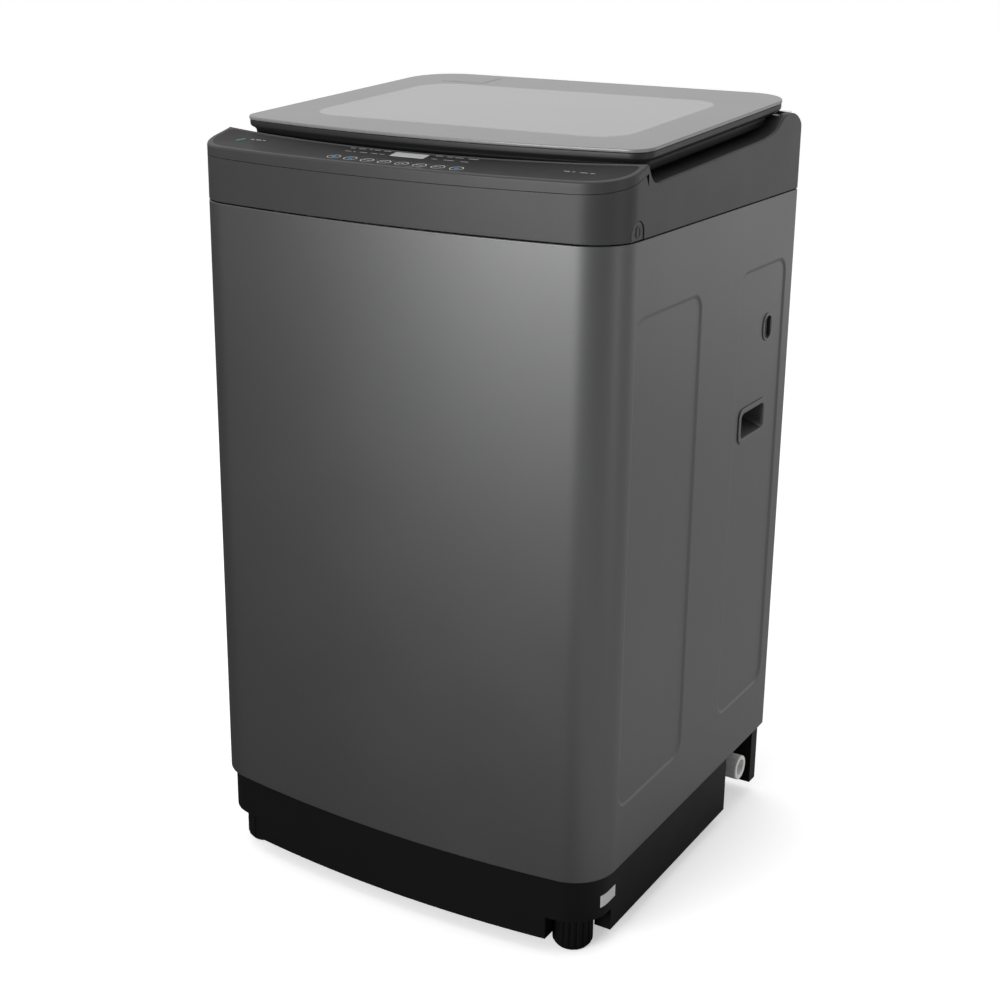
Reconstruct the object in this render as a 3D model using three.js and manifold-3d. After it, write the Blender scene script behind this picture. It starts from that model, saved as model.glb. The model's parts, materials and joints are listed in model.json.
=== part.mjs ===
// Top load washing machine, built as an assembly of separate pieces.
// Units are millimetres. +Z is up, -Y is the front, +X is the right hand side.
// The origin is on the floor, under the middle of the machine.

import * as THREE from 'three';
import { mergeVertices } from 'three/addons/utils/BufferGeometryUtils.js';
import Module from 'manifold-3d';

const wasm = await Module();
wasm.setup();

// ---------------------------------------------------------------------------
// Driving dimensions
// ---------------------------------------------------------------------------

const GAP = 0.3; // clearance between pieces that touch in the real machine

// Cabinet, as seen from above: a box with a bowed front and rounded corners
const HALF_WIDTH = 280;
const FRONT = -275; // foremost point of the bowed front
const BACK = 255; // plane of the cabinet's back
const REAR_REACH = 275; // hindmost point of the water inlets
const BOW = 24.4; // how far the bow runs back at the sides
const FRONT_CORNER = 55.3;
const REAR_CORNER = 11;
const SHEET = 0.9;
const CABINET = {
  halfWidth: HALF_WIDTH,
  front: FRONT,
  back: BACK,
  bow: BOW,
  frontCorner: FRONT_CORNER,
  rearCorner: REAR_CORNER,
};
const RETURN_X = 250; // the steel's rear returns reach in to here

// Heights
const BASE_BOTTOM = 20;
const STEEL_BOTTOM = 105;
const STEEL_TOP = 849.4;
const COVER_BOTTOM = 850.6;

// Pressed fields, grips and slots in the cabinet's sides
const EMBOSS_DEPTH = 2;
const EMBOSS_CORNER = 22;
const EMBOSSES = [
  { y0: -202, y1: -30, z0: 181, z1: 767 },
  { y0: 80.5, y1: 225, z0: 181, z1: 769 },
];
const HANDLE = { y: 143, z: 570, halfWidth: 43, halfHeight: 23, corner: 12, depth: 34 };
const SLOT = { y: 176.5, z: 685, halfWidth: 14.5, halfHeight: 18, boreHalfWidth: 6.5, boreHalfHeight: 13.5 };
const SIDE_FLANGE = 1.4; // thickness of a grip's flange on the steel

// Rear panel and the cord's way out
const REAR_PANEL = { halfWidth: 262, z0: 112, z1: 848, front: BACK - 2.2 };
const SWAGE = { halfWidth: 200, z0: 330, z1: 780, rim: 3 };
const VENT = { count: 9, pitch: 20, halfWidth: 3, z0: 230, z1: 290 };
const CORD_GLAND = { x: -215, z: 800, hole: 11, flange: 15, neck: 10.5, bore: 4 };

// Base
const BASE_INSET = 6.6;
const BASE_WALL = 4;
const DECK = 4;
const DECK_HOLE = { halfWidth: 222, halfDepth: 205, corner: 60 };
const COLLAR = 12;
const TOWER_TOP = STEEL_BOTTOM - 2;
const POCKET = { top: 49, frontX: 216.5, sideY: -196, innerX: 202, innerY: -184 };
const POCKET_RIB = { width: 4, frontEnd: -234, sideX: 252 };
const DRAIN_NOTCH = { x: 243, y0: 138, y1: 226, top: 97 };
const SPIGOT = { y: 192, z: 58, outer: 17, inner: 13.5, end: 273, length: 62 };

// Top cover
const COVER_WALL = 3;
const PANEL_FRONT_Z = 914.5; // control panel height at the very front
const PANEL_CURVE = 0.00157; // it rises with the square of the distance from the front
const PANEL_EDGE = -207; // back edge of the control panel on the centre line
const PANEL_WALL = 2.6;
const RIM_Z = 906.5; // height of the rim at y = -150
const RIM_SLOPE = 0.0606;
const CHEEK_X = 271.5; // inner face of the two cheeks beside the lid
const MOUTH = { halfWidth: 200, front: -152, back: 148, corner: 105 };
const PARTING_DROP = 13.5; // from the control panel's surface to its parting line, at the front
const PARTING_RISE = 4.6; // how much nearer the two come at the panel's back edge
const PANEL_STATIONS = [-290, -275, -255, -235, -215, -197, -170]; // depths the panel's curve is drawn at
const STEP = { halfWidth: 268, back: -158, z: 904 }; // low step behind the control panel
const CONSOLE = { front: 150, back: 262, z: 940.5 }; // raised deck under the back of the lid
const FILM = { inset: 7, edge: -4, depth: 0.9 };
const DISPLAY = { x: 4.5, y: -218.5, halfWidth: 22.5, halfDepth: 7.2 };
const BOARD_Z = 903;
const CLIP = { y: -203, halfWidth: 14, top: 872, depth: 3 };
const DRAWER = { halfWidth: 78, front: 152.5, back: 236, z0: 866, z1: 908, wall: 2 };
const INLET = { ports: [150, 192], z: 884, radius: 13, bore: 8, hole: 16 };

// Lid: a tilted glass on a moulded frame
const LID_TILT = THREE.MathUtils.degToRad(3.365);
const LID_Z = 950.3; // height of the glass above the origin
const LID = { halfWidth: 270.4, front: -194.5, back: 250.2, bow: 24.9, frontCorner: 26.6, rearCorner: 60.6 };
const LID_WINDOW = { halfWidth: 212, front: -122, back: 162, corner: 42 };
const HINGE = { y: 232, z: 944, rodRadius: 3, rodEnd: 271.2, channel: 29 };
const LUG_X = [150, 232];
const SKIRT_END = 168; // the skirt stops here, in front of the hinge

// Wash group, on a vertical axis through TUB_Y
const TUB_Y = -8;
const TUB = { radius: 239, wall: 3, bottom: 262, top: 800 };
const BASKET = { radius: 217, wall: 0.9, bottom: 288, top: 776 };
const RING = { inner: 182, outer: 221, bottom: 776.4, top: 824 };
const PULSATOR = { radius: 165, z: 292 };
const HANGERS = [[1, 1], [1, -1], [-1, 1], [-1, -1]];
const HANGER = { x: 196, y: 186, top: 838 };

// Drive under the tub
const PULLEY = { radius: 92, z0: 128, z1: 148 };
const MOTOR = { x: -113, y: 105, radius: 56, z0: 160, z1: 246, pulleyRadius: 35 };
const BELT_LIFT = 1.6; // keeps the belt's flat facets clear of both pulleys
const DRAIN = { x: 150, y: 110 };

// Levelling feet
const FOOT = { x: 232, y: -213, radius: 24.5, bevel: 5, top: 47 };
const REAR_FOOT = { x: 140, y: 222, radius: 20 };

// Soft keys in the control panel
const KEY_COUNT = 8;
const KEY_PITCH = 23;
const KEY_FIRST_X = -75;
const KEY_RADIUS = 8.1;
const KEY_Y = -250;

// ---------------------------------------------------------------------------
// Colours
// ---------------------------------------------------------------------------

/** One flat material for the CAD model. */
function finish(color, roughness, metalness, opacity = 1) {
  return new THREE.MeshStandardMaterial({ color, roughness, metalness, opacity, transparent: opacity < 1 });
}

const PAINT = finish(0x54565a, 0.42, 0.55);
const COVER_PLASTIC = finish(0x4a4b4d, 0.38, 0.15);
const PANEL_FILM = finish(0x1d1e20, 0.25, 0.0);
const BLACK_PLASTIC = finish(0x0c0c0d, 0.5, 0.0);
const GREY_PLASTIC = finish(0x6b6d70, 0.5, 0.0);
const WHITE_PLASTIC = finish(0xd8d8d4, 0.45, 0.0);
const GLASS = finish(0x9b9da0, 0.08, 0.0, 0.6);
const STAINLESS = finish(0xb9bcc0, 0.25, 1.0);
const ZINC = finish(0xa0a3a6, 0.45, 0.9);
const CAST = finish(0x8d9093, 0.6, 0.8);
const RUBBER = finish(0x151515, 0.9, 0.0);
const BOARD = finish(0x2e5c3a, 0.6, 0.0);

// ---------------------------------------------------------------------------
// Geometry helpers
// ---------------------------------------------------------------------------

/** Turns a closed three.js geometry into a solid, with its faces pointing out. */
function solid(geometry) {
  const plain = geometry.clone();
  plain.deleteAttribute('normal');
  plain.deleteAttribute('uv');
  const merged = mergeVertices(plain, 1e-4);
  const position = merged.getAttribute('position');
  const faces = [];
  let volume = 0;
  const [a, b, c] = [new THREE.Vector3(), new THREE.Vector3(), new THREE.Vector3()];
  for (let i = 0; i < merged.index.count; i += 3) {
    const [p, q, r] = [0, 1, 2].map((k) => merged.index.getX(i + k));
    if (p === q || q === r || r === p) continue;
    a.fromBufferAttribute(position, p);
    b.fromBufferAttribute(position, q);
    c.fromBufferAttribute(position, r);
    volume += a.dot(b.cross(c));
    faces.push([p, q, r]);
  }
  if (volume < 0) faces.forEach((face) => face.reverse());
  return new wasm.Manifold(new wasm.Mesh({
    numProp: 3,
    vertProperties: new Float32Array(position.array),
    triVerts: new Uint32Array(faces.flat()),
  }));
}

/** Gives a solid back as a three.js geometry. */
function geometryOf(body) {
  const { vertProperties, triVerts } = body.getMesh();
  const geometry = new THREE.BufferGeometry();
  geometry.setAttribute('position', new THREE.BufferAttribute(vertProperties, 3));
  geometry.setIndex(new THREE.BufferAttribute(triVerts, 1));
  geometry.computeVertexNormals();
  return geometry;
}

/** A box between two corners. */
function box(x0, x1, y0, y1, z0, z1) {
  const geometry = new THREE.BoxGeometry(x1 - x0, y1 - y0, z1 - z0);
  geometry.translate((x0 + x1) / 2, (y0 + y1) / 2, (z0 + z1) / 2);
  return solid(geometry);
}

/** An upright prism with the given outline, from z0 to z1. */
function prism(outline, z0, z1) {
  const shape = new THREE.Shape(outline);
  const geometry = new THREE.ExtrudeGeometry(shape, { depth: z1 - z0, bevelEnabled: false });
  geometry.translate(0, 0, z0);
  return solid(geometry);
}

/** A prism that runs along X, with its outline given as (y, z) points. */
function acrossX(outline, x0, x1) {
  const shape = new THREE.Shape(outline);
  const geometry = new THREE.ExtrudeGeometry(shape, { depth: x1 - x0, bevelEnabled: false });
  const axes = new THREE.Matrix4().makeBasis(
    new THREE.Vector3(0, 1, 0),
    new THREE.Vector3(0, 0, 1),
    new THREE.Vector3(1, 0, 0),
  );
  geometry.applyMatrix4(axes);
  geometry.translate(x0, 0, 0);
  return solid(geometry);
}

/** A body of revolution about the vertical axis, from (radius, z) points that close on themselves. */
function turned(profile, x, y, segments = 16) {
  const points = profile.map(([radius, z]) => new THREE.Vector2(radius, z));
  if (profile[0][0] > 0) points.push(points[0].clone());
  const geometry = new THREE.LatheGeometry(points, segments);
  geometry.rotateX(Math.PI / 2);
  geometry.translate(x, y, 0);
  return solid(geometry);
}

/** A round bar between two points. */
function bar(radius, from, to, segments = 10) {
  const [start, end] = [new THREE.Vector3(...from), new THREE.Vector3(...to)];
  const direction = end.clone().sub(start);
  const geometry = new THREE.CylinderGeometry(radius, radius, direction.length(), segments);
  const turn = new THREE.Quaternion().setFromUnitVectors(new THREE.Vector3(0, 1, 0), direction.normalize());
  geometry.applyQuaternion(turn);
  const middle = start.add(end).multiplyScalar(0.5);
  geometry.translate(middle.x, middle.y, middle.z);
  return solid(geometry);
}

/** Points of an arc about (cx, cy), from one angle to another, in degrees. */
function arc(cx, cy, radius, from, to, steps) {
  return Array.from({ length: steps + 1 }, (_, i) => {
    const angle = THREE.MathUtils.degToRad(from + ((to - from) * i) / steps);
    return new THREE.Vector2(cx + radius * Math.cos(angle), cy + radius * Math.sin(angle));
  });
}

/** Points of a rectangle with rounded corners, about (cx, cy). */
function roundedRectangle(cx, cy, halfWidth, halfHeight, radius, steps = 3) {
  const [w, h] = [halfWidth - radius, halfHeight - radius];
  return [
    ...arc(cx + w, cy - h, radius, -90, 0, steps),
    ...arc(cx + w, cy + h, radius, 0, 90, steps),
    ...arc(cx - w, cy + h, radius, 90, 180, steps),
    ...arc(cx - w, cy - h, radius, 180, 270, steps),
  ];
}

/**
 * Plan outline of a piece with a bowed front. The bow is one arc, each front corner is an arc
 * that touches both the bow and the side, and inset moves the whole outline inwards.
 */
function bowedOutline({ halfWidth, front, back, bow, frontCorner, rearCorner }, inset = 0, steps = 5) {
  const bowRadius = (halfWidth ** 2 + bow ** 2) / (2 * bow);
  const bowCentre = front + bowRadius;
  const reach = bowRadius - inset;
  const radius = Math.max(frontCorner - inset, 1);
  const cornerX = halfWidth - inset - radius;
  const cornerY = bowCentre - Math.sqrt((reach - radius) ** 2 - cornerX ** 2);
  const lean = THREE.MathUtils.radToDeg(Math.atan2(cornerX, bowCentre - cornerY));
  const rear = Math.max(rearCorner - inset, 1);
  const [rearX, rearY] = [halfWidth - inset - rear, back - inset - rear];
  return [
    ...arc(0, bowCentre, reach, -90 - lean, -90 + lean, 6),
    ...arc(cornerX, cornerY, radius, -90 + lean, 0, steps).slice(1),
    ...arc(rearX, rearY, rear, 0, 90, 3),
    ...arc(-rearX, rearY, rear, 90, 180, 3),
    ...arc(-cornerX, cornerY, radius, 180, 270 - lean, steps).slice(0, -1),
  ];
}

/** Joins solids into one. */
function join(...bodies) {
  return bodies.reduce((sum, body) => sum.add(body));
}

/** Cuts every later solid from the first. */
function cut(body, ...tools) {
  return tools.reduce((rest, tool) => rest.subtract(tool), body);
}

/** The same solid on the other side of the machine. */
function mirrored(body) {
  return body.mirror([1, 0, 0]);
}

const machine = new THREE.Group();

/** Adds one named piece to the machine, or to one of its groups. */
function addPiece(name, body, material, parent = machine) {
  const mesh = new THREE.Mesh(geometryOf(body), material);
  mesh.name = name;
  parent.add(mesh);
  return mesh;
}

/** Adds a piece for the right side and its mirror image for the left. */
function addPair(name, rightBody, material) {
  addPiece(`${name}_right`, rightBody, material);
  addPiece(`${name}_left`, mirrored(rightBody), material);
}

// ---------------------------------------------------------------------------
// Cabinet
// ---------------------------------------------------------------------------

/** The pressed-in fields of one side, each a shallow step in the sheet. */
function sideFields(x0, x1, grow) {
  return join(...EMBOSSES.map(({ y0, y1, z0, z1 }) => {
    const outline = roundedRectangle(
      (y0 + y1) / 2,
      (z0 + z1) / 2,
      (y1 - y0) / 2 + grow,
      (z1 - z0) / 2 + grow,
      EMBOSS_CORNER + grow,
    );
    return acrossX(outline, x0, x1);
  }));
}

/** Outline of a side grip's flange, grown or shrunk. */
function handleOutline(grow) {
  const { y, z, halfWidth, halfHeight, corner } = HANDLE;
  return roundedRectangle(y, z, halfWidth + grow, halfHeight + grow, corner + grow);
}

/** Outline of a side slot's flange, grown or shrunk. */
function slotOutline(grow) {
  const [width, height] = [SLOT.halfWidth + grow, SLOT.halfHeight + grow];
  return roundedRectangle(SLOT.y, SLOT.z, width, height, width - 0.01, 5);
}

/** Bent steel wrap: front, both sides and two returns at the back. */
function cabinetWrap() {
  const skin = prism(bowedOutline(CABINET), STEEL_BOTTOM, STEEL_TOP);
  const hollow = prism(bowedOutline(CABINET, SHEET), STEEL_BOTTOM - 1, STEEL_TOP + 1);
  const backing = sideFields(HALF_WIDTH - EMBOSS_DEPTH - SHEET, HALF_WIDTH - SHEET / 2, SHEET);
  const dish = sideFields(HALF_WIDTH - EMBOSS_DEPTH, HALF_WIDTH + 1, 0);
  const sideHoles = join(
    acrossX(handleOutline(-2), HALF_WIDTH - 20, HALF_WIDTH + 1),
    acrossX(slotOutline(-2), HALF_WIDTH - 20, HALF_WIDTH + 1),
  );
  const rearOpening = box(-RETURN_X, RETURN_X, BACK - 20, BACK + 1, STEEL_BOTTOM - 1, STEEL_TOP + 1);
  const shell = cut(skin, hollow, rearOpening);
  const formed = join(shell, backing, mirrored(backing));
  return cut(formed, dish, mirrored(dish), sideHoles, mirrored(sideHoles));
}

/** Rear panel inside the steel's returns, with a raised rim round its middle, vents and the cord's hole. */
function rearPanel() {
  const { halfWidth, z0, z1, front } = REAR_PANEL;
  const inner = SWAGE.halfWidth - SWAGE.rim;
  const plate = box(-halfWidth, halfWidth, front, BACK - SHEET - GAP, z0, z1);
  const swage = box(-SWAGE.halfWidth, SWAGE.halfWidth, front, BACK - 0.2, SWAGE.z0, SWAGE.z1);
  const dish = box(-inner, inner, front - 1, BACK - SHEET - GAP, SWAGE.z0 + SWAGE.rim, SWAGE.z1 - SWAGE.rim);
  const vents = Array.from({ length: VENT.count }, (_, i) => {
    const x = (i - (VENT.count - 1) / 2) * VENT.pitch;
    return box(x - VENT.halfWidth, x + VENT.halfWidth, front - 5, BACK + 5, VENT.z0, VENT.z1);
  });
  const gland = CORD_GLAND;
  const cordHole = bar(gland.hole, [gland.x, front - 5, gland.z], [gland.x, BACK + 5, gland.z], 16);
  return cut(join(plate, swage), dish, ...vents, cordHole);
}

/** Grommet that the mains cord would leave by, with a through hole. */
function cordGland() {
  const { x, z } = CORD_GLAND;
  const flange = bar(CORD_GLAND.flange, [x, BACK - SHEET, z], [x, BACK + 5, z], 20);
  const neck = bar(CORD_GLAND.neck, [x, BACK - 12, z], [x, BACK, z], 20);
  const bore = bar(CORD_GLAND.bore, [x, BACK - 20, z], [x, BACK + 20, z], 12);
  return cut(join(flange, neck), bore);
}

/** Cup behind a side grip: a flange on the steel and a pocket with a sloping floor. */
function sideHandle() {
  const face = HALF_WIDTH - EMBOSS_DEPTH;
  const flange = acrossX(handleOutline(0), face + GAP, face + GAP + SIDE_FLANGE);
  const pocket = acrossX(handleOutline(-2.4), face - HANDLE.depth, face + GAP + 0.5);
  const hollow = [
    new THREE.Vector2(face - HANDLE.depth + 3, HANDLE.z + HANDLE.halfHeight - 9),
    new THREE.Vector2(face - HANDLE.depth + 3, HANDLE.z - 6),
    new THREE.Vector2(face + 4, HANDLE.z - HANDLE.halfHeight + 9),
    new THREE.Vector2(face + 4, HANDLE.z + HANDLE.halfHeight - 9),
  ];
  const reach = HANDLE.halfWidth - 9;
  const outline = new THREE.Shape(hollow);
  const geometry = new THREE.ExtrudeGeometry(outline, { depth: 2 * reach, bevelEnabled: false });
  geometry.rotateX(Math.PI / 2);
  geometry.translate(0, HANDLE.y + reach, 0);
  return cut(join(flange, pocket), solid(geometry));
}

/** Oval grommet in the side with a through slot. */
function slotRim() {
  const face = HALF_WIDTH - EMBOSS_DEPTH;
  const flange = acrossX(slotOutline(0), face + GAP, face + GAP + SIDE_FLANGE - 0.2);
  const neck = acrossX(slotOutline(-2.4), face - 8, face + GAP + 0.5);
  const bore = roundedRectangle(
    SLOT.y + 2,
    SLOT.z,
    SLOT.boreHalfWidth,
    SLOT.boreHalfHeight,
    SLOT.boreHalfWidth - 0.01,
    4,
  );
  return cut(join(flange, neck), acrossX(bore, face - 20, face + 20));
}

// ---------------------------------------------------------------------------
// Base
// ---------------------------------------------------------------------------

/** Moulded base: a wall with a deck, pockets over the front feet and the drain notch. */
function baseFrame() {
  const top = STEEL_BOTTOM - GAP;
  const outside = prism(bowedOutline(CABINET, BASE_INSET), BASE_BOTTOM, top);
  const room = prism(bowedOutline(CABINET, BASE_INSET + BASE_WALL), BASE_BOTTOM - 1, top - DECK);
  const { halfWidth, halfDepth, corner } = DECK_HOLE;
  const deckHole = prism(roundedRectangle(0, TUB_Y, halfWidth, halfDepth, corner), BASE_BOTTOM - 1, top + 20);
  const collar = prism(bowedOutline(CABINET, SHEET + GAP), top - 1, top + COLLAR);
  const collarRoom = prism(bowedOutline(CABINET, SHEET + GAP + 8), top - 2, top + COLLAR + 1);
  const rearGap = box(-268, 268, BACK - 12, BACK + 1, REAR_PANEL.z0 - 1, top + COLLAR + 1);
  const towers = join(frontTower(), rearTower()).intersect(outside);
  const notch = DRAIN_NOTCH;
  const drainCut = box(notch.x, HALF_WIDTH + 1, notch.y0, notch.y1, BASE_BOTTOM - 1, notch.top);
  const pockets = frontPocket();
  const shell = join(cut(outside, room, deckHole), cut(collar, collarRoom, rearGap));
  return cut(join(shell, towers, mirrored(towers)), pockets, mirrored(pockets), drainCut);
}

/** Tower over one front foot, hollow above the pocket's ceiling. */
function frontTower() {
  const { innerX, innerY, top } = POCKET;
  const block = box(innerX - 3, HALF_WIDTH, FRONT, innerY + 3, BASE_BOTTOM, TOWER_TOP);
  return cut(block, box(innerX, HALF_WIDTH, FRONT, innerY, top + 6, STEEL_BOTTOM - GAP - DECK));
}

/** Room for the foot under one front corner, between two ribs, open to the front and the side. */
function frontPocket() {
  const { innerX, innerY, frontX, sideY, top } = POCKET;
  const wall = BASE_INSET + BASE_WALL;
  const rib = POCKET_RIB;
  const sideRib = box(rib.sideX, HALF_WIDTH, sideY, innerY + 1, BASE_BOTTOM - 2, top + 1);
  const frontRib = box(frontX - rib.width, frontX, FRONT, rib.frontEnd, BASE_BOTTOM - 2, top + 1);
  const room = box(innerX, HALF_WIDTH, FRONT, innerY, BASE_BOTTOM - 1, top)
    .intersect(prism(bowedOutline(CABINET, wall), 0, 60));
  const opening = box(frontX, HALF_WIDTH + 1, FRONT, sideY, BASE_BOTTOM - 1, top);
  const stemHole = bar(8.6, [FOOT.x, FOOT.y, 40], [FOOT.x, FOOT.y, 120], 16);
  return join(cut(room, sideRib, frontRib), opening, stemHole);
}

/** Leg at one rear corner, and the boss that holds the rear foot's stem. */
function rearTower() {
  const { x, y } = REAR_FOOT;
  const leg = box(HALF_WIDTH - 60, HALF_WIDTH, DRAIN_NOTCH.y1, BACK, BASE_BOTTOM, TOWER_TOP);
  const boss = box(x - 26, x + 26, y - 22, BACK, BASE_BOTTOM, TOWER_TOP);
  return cut(join(leg, boss), bar(5.4, [x, y, 10], [x, y, 70], 12));
}

/** Levelling foot: a ribbed grip with a bevelled sole and a threaded stem. */
function levellingFoot() {
  const ribs = 18;
  const outline = Array.from({ length: ribs * 2 }, (_, i) => {
    const angle = (Math.PI * i) / ribs;
    const radius = FOOT.radius - (i % 2 ? 1.4 : 0);
    return new THREE.Vector2(FOOT.x + radius * Math.cos(angle), FOOT.y + radius * Math.sin(angle));
  });
  const grip = prism(outline, 0, FOOT.top);
  const reach = FOOT.radius + 1;
  const bevelled = [[0, 0], [FOOT.radius - FOOT.bevel, 0], [reach, FOOT.bevel + 1.5], [reach, 60], [0, 60]];
  const sole = turned(bevelled, FOOT.x, FOOT.y);
  const stem = bar(8, [FOOT.x, FOOT.y, 30], [FOOT.x, FOOT.y, 88], 16);
  return join(grip.intersect(sole), stem);
}

/** Fixed rear foot with a stem in the base. */
function rearFoot() {
  const top = BASE_BOTTOM - GAP;
  const pad = turned(
    [[0, 0], [18, 0], [REAR_FOOT.radius, 4], [REAR_FOOT.radius, 17], [12, top], [0, top]],
    REAR_FOOT.x,
    REAR_FOOT.y,
    14,
  );
  return join(pad, bar(5, [REAR_FOOT.x, REAR_FOOT.y, 10], [REAR_FOOT.x, REAR_FOOT.y, 60], 12));
}

// ---------------------------------------------------------------------------
// Top cover, control panel and dispenser
// ---------------------------------------------------------------------------

/** Height of the control panel's surface at a given depth. */
function panelHeight(y) {
  return PANEL_FRONT_Z + PANEL_CURVE * (y - FRONT) ** 2;
}

/** Height of the parting line under the control panel at a given depth. */
function partingHeight(y) {
  const share = THREE.MathUtils.clamp((y - FRONT) / (-182 - FRONT), 0, 1);
  return panelHeight(y) - PARTING_DROP + PARTING_RISE * share;
}

/** Height of the rim beside the lid at a given depth. */
function rimHeight(y) {
  return RIM_Z + RIM_SLOPE * (y + 150);
}

/** Side profile of the cover at the cheeks, as (y, z) points from front to back. */
function cheekProfile(lower = 0) {
  const panel = [-275, -255, -235, -215, -197, -184].map((y) => [y, panelHeight(y)]);
  const crest = [[-181.6, 925], [-177, 917], [-169, 909], [-159, 906]];
  const rim = [[-148, rimHeight(-148) + 0.4], ...[-60, 40, 130].map((y) => [y, rimHeight(y)])];
  const rise = [[158, 928.5], [172, 933.5], [182, 940], [192, 945.5], [202, 947]];
  const fall = [[214, 946.8], [225, 945.4], [235, 941.8], [243, 936], [249, 928], [253, 918], [255, 906]];
  return [...panel, ...crest, ...rim, ...rise, ...fall].map(([y, z]) => new THREE.Vector2(y, z - lower));
}

/** Everything under a side profile, down to a level, as one outline that runs past both its ends. */
function underProfile(top, bottom) {
  const [first, last] = [top[0], top[top.length - 1]];
  const [front, back] = [first.x - 9, last.x + 9];
  return [
    new THREE.Vector2(front, bottom),
    new THREE.Vector2(back, bottom),
    new THREE.Vector2(back, last.y),
    ...[...top].reverse(),
    new THREE.Vector2(front, first.y),
  ];
}

/** Plan zone in front of the control panel's bowed back edge. */
function panelZone(shift, z0, z1) {
  const reach = (HALF_WIDTH ** 2 + BOW ** 2) / (2 * BOW);
  const edge = arc(0, PANEL_EDGE + shift + reach, reach, -100.5, -79.5, 10);
  const corners = [new THREE.Vector2(300, -300), new THREE.Vector2(-300, -300)];
  return prism([...edge, ...corners], z0, z1);
}

/** The deck's mouth, grown or shrunk, as an upright prism. */
function mouthPrism(grow, z0, z1) {
  const { halfWidth, front, back, corner } = MOUTH;
  const [middle, halfDepth] = [(front + back) / 2, (back - front) / 2];
  return prism(roundedRectangle(0, middle, halfWidth + grow, halfDepth + grow, corner + grow, 6), z0, z1);
}

/** Channel that the back of the lid turns into, round the hinge line. */
function hingeChannel(radius) {
  return bar(radius, [-CHEEK_X, HINGE.y, HINGE.z], [CHEEK_X, HINGE.y, HINGE.z], 20);
}

/** The cover's outer form, solid, with its surface lowered and its walls moved in. */
function coverForm(lower, inset) {
  const walls = prism(bowedOutline(CABINET, inset), COVER_BOTTOM, 990);
  const sides = acrossX(underProfile(cheekProfile(lower), COVER_BOTTOM - 5), -300, 300);
  const consoleX = CHEEK_X - lower;
  const stepX = STEP.halfWidth - lower;
  const trough = box(-consoleX, consoleX, CONSOLE.front, CONSOLE.back, CONSOLE.z - lower, 990);
  const behindPanel = box(-stepX, stepX, FRONT - 10, STEP.back, STEP.z - lower, 990);
  const frontStep = cut(behindPanel, panelZone(-lower, 800, 1000));
  return cut(walls.intersect(sides), trough, frontStep, hingeChannel(HINGE.channel + lower));
}

/** A slab across the machine between two heights that follow the control panel's depth. */
function panelSlab(lower, upper) {
  const edge = (height) => PANEL_STATIONS.map((y) => new THREE.Vector2(y, height(Math.max(y, FRONT))));
  return acrossX([...edge(lower), ...edge(upper).reverse()], -300, 300);
}

/** Top cover: outer wall, deck, mouth and rear console. */
function topCover() {
  const shell = cut(coverForm(0, 0), coverForm(COVER_WALL, COVER_WALL));
  const mouthWall = cut(mouthPrism(COVER_WALL, 858, 990), mouthPrism(0, 850, 1000));
  const wall = mouthWall.intersect(coverForm(1, 1));
  const cleared = cut(join(shell, wall), mouthPrism(0, 850, 1000));
  const drawerSlot = box(
    -DRAWER.halfWidth - 1,
    DRAWER.halfWidth + 1,
    140,
    DRAWER.front + 12,
    DRAWER.z0 - 1,
    DRAWER.z1 + 1,
  );
  const inletHoles = join(...INLET.ports.map((x) => (
    bar(INLET.hole, [x, BACK - 10, INLET.z], [x, BACK + 5, INLET.z], 16)
  )));
  const clip = clipPocket();
  return cut(cleared, panelSeat(), drawerSlot, inletHoles, clip, mirrored(clip));
}

/** Everything above the parting line under the control panel. */
function panelSeat() {
  return panelSlab((y) => partingHeight(y) - 0.8, () => 990).intersect(panelZone(GAP, 850, 1000));
}

/** The film's zone, from a depth under the panel's surface up to a height. */
function filmZone(grow, depth, rise) {
  return panelSlab((y) => panelHeight(y) - depth, (y) => panelHeight(y) + rise)
    .intersect(prism(bowedOutline(CABINET, FILM.inset - grow), 880, 990))
    .intersect(panelZone(FILM.edge + grow, 880, 990));
}

/** Where one key sits: the row follows the panel's bow. */
function keyPlace(i) {
  const x = KEY_FIRST_X + i * KEY_PITCH;
  return [x, KEY_Y - 2.2 * Math.cos(((x - 5) / 80) * (Math.PI / 2))];
}

/** Upright bars through all the keys' places. */
function keyHoles(radius) {
  return join(...Array.from({ length: KEY_COUNT }, (_, i) => {
    const [x, y] = keyPlace(i);
    return bar(radius, [x, y, 890], [x, y, 990], 12);
  }));
}

/** The display's place, grown or shrunk, as an upright block. */
function displayPrism(grow) {
  const { x, y, halfWidth, halfDepth } = DISPLAY;
  const [across, deep] = [halfWidth + grow, halfDepth + grow];
  return box(x - across, x + across, y - deep, y + deep, 880, 990);
}

/** Control panel moulding over the front of the cover. */
function controlPanel() {
  const form = panelSlab(partingHeight, panelHeight)
    .intersect(prism(bowedOutline(CABINET), 880, 990))
    .intersect(panelZone(0, 880, 990));
  const room = panelSlab(() => 880, (y) => panelHeight(y) - PANEL_WALL)
    .intersect(prism(bowedOutline(CABINET, PANEL_WALL), 870, 990))
    .intersect(panelZone(-PANEL_WALL, 870, 990));
  return cut(form, room, filmZone(GAP, FILM.depth + GAP, 5), keyHoles(KEY_RADIUS + 0.5), displayPrism(0.4));
}

/** Dark film set into the control panel. */
function panelFilm() {
  return cut(filmZone(0, FILM.depth, 0), keyHoles(KEY_RADIUS + 0.5), displayPrism(0.4));
}

/** Clear window over the display. */
function displayWindow() {
  return panelSlab((y) => panelHeight(y) - 3.2, (y) => panelHeight(y) - 0.1).intersect(displayPrism(0));
}

/** Circuit board with its key switches and display block, in a shallow carrier. */
function controlBoard() {
  const carrier = box(-130, 130, -262, -212, BOARD_Z - 5, BOARD_Z);
  const display = box(-20, 28, -225.5, -213, BOARD_Z - 1, BOARD_Z + 8);
  return join(carrier, display);
}

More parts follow.
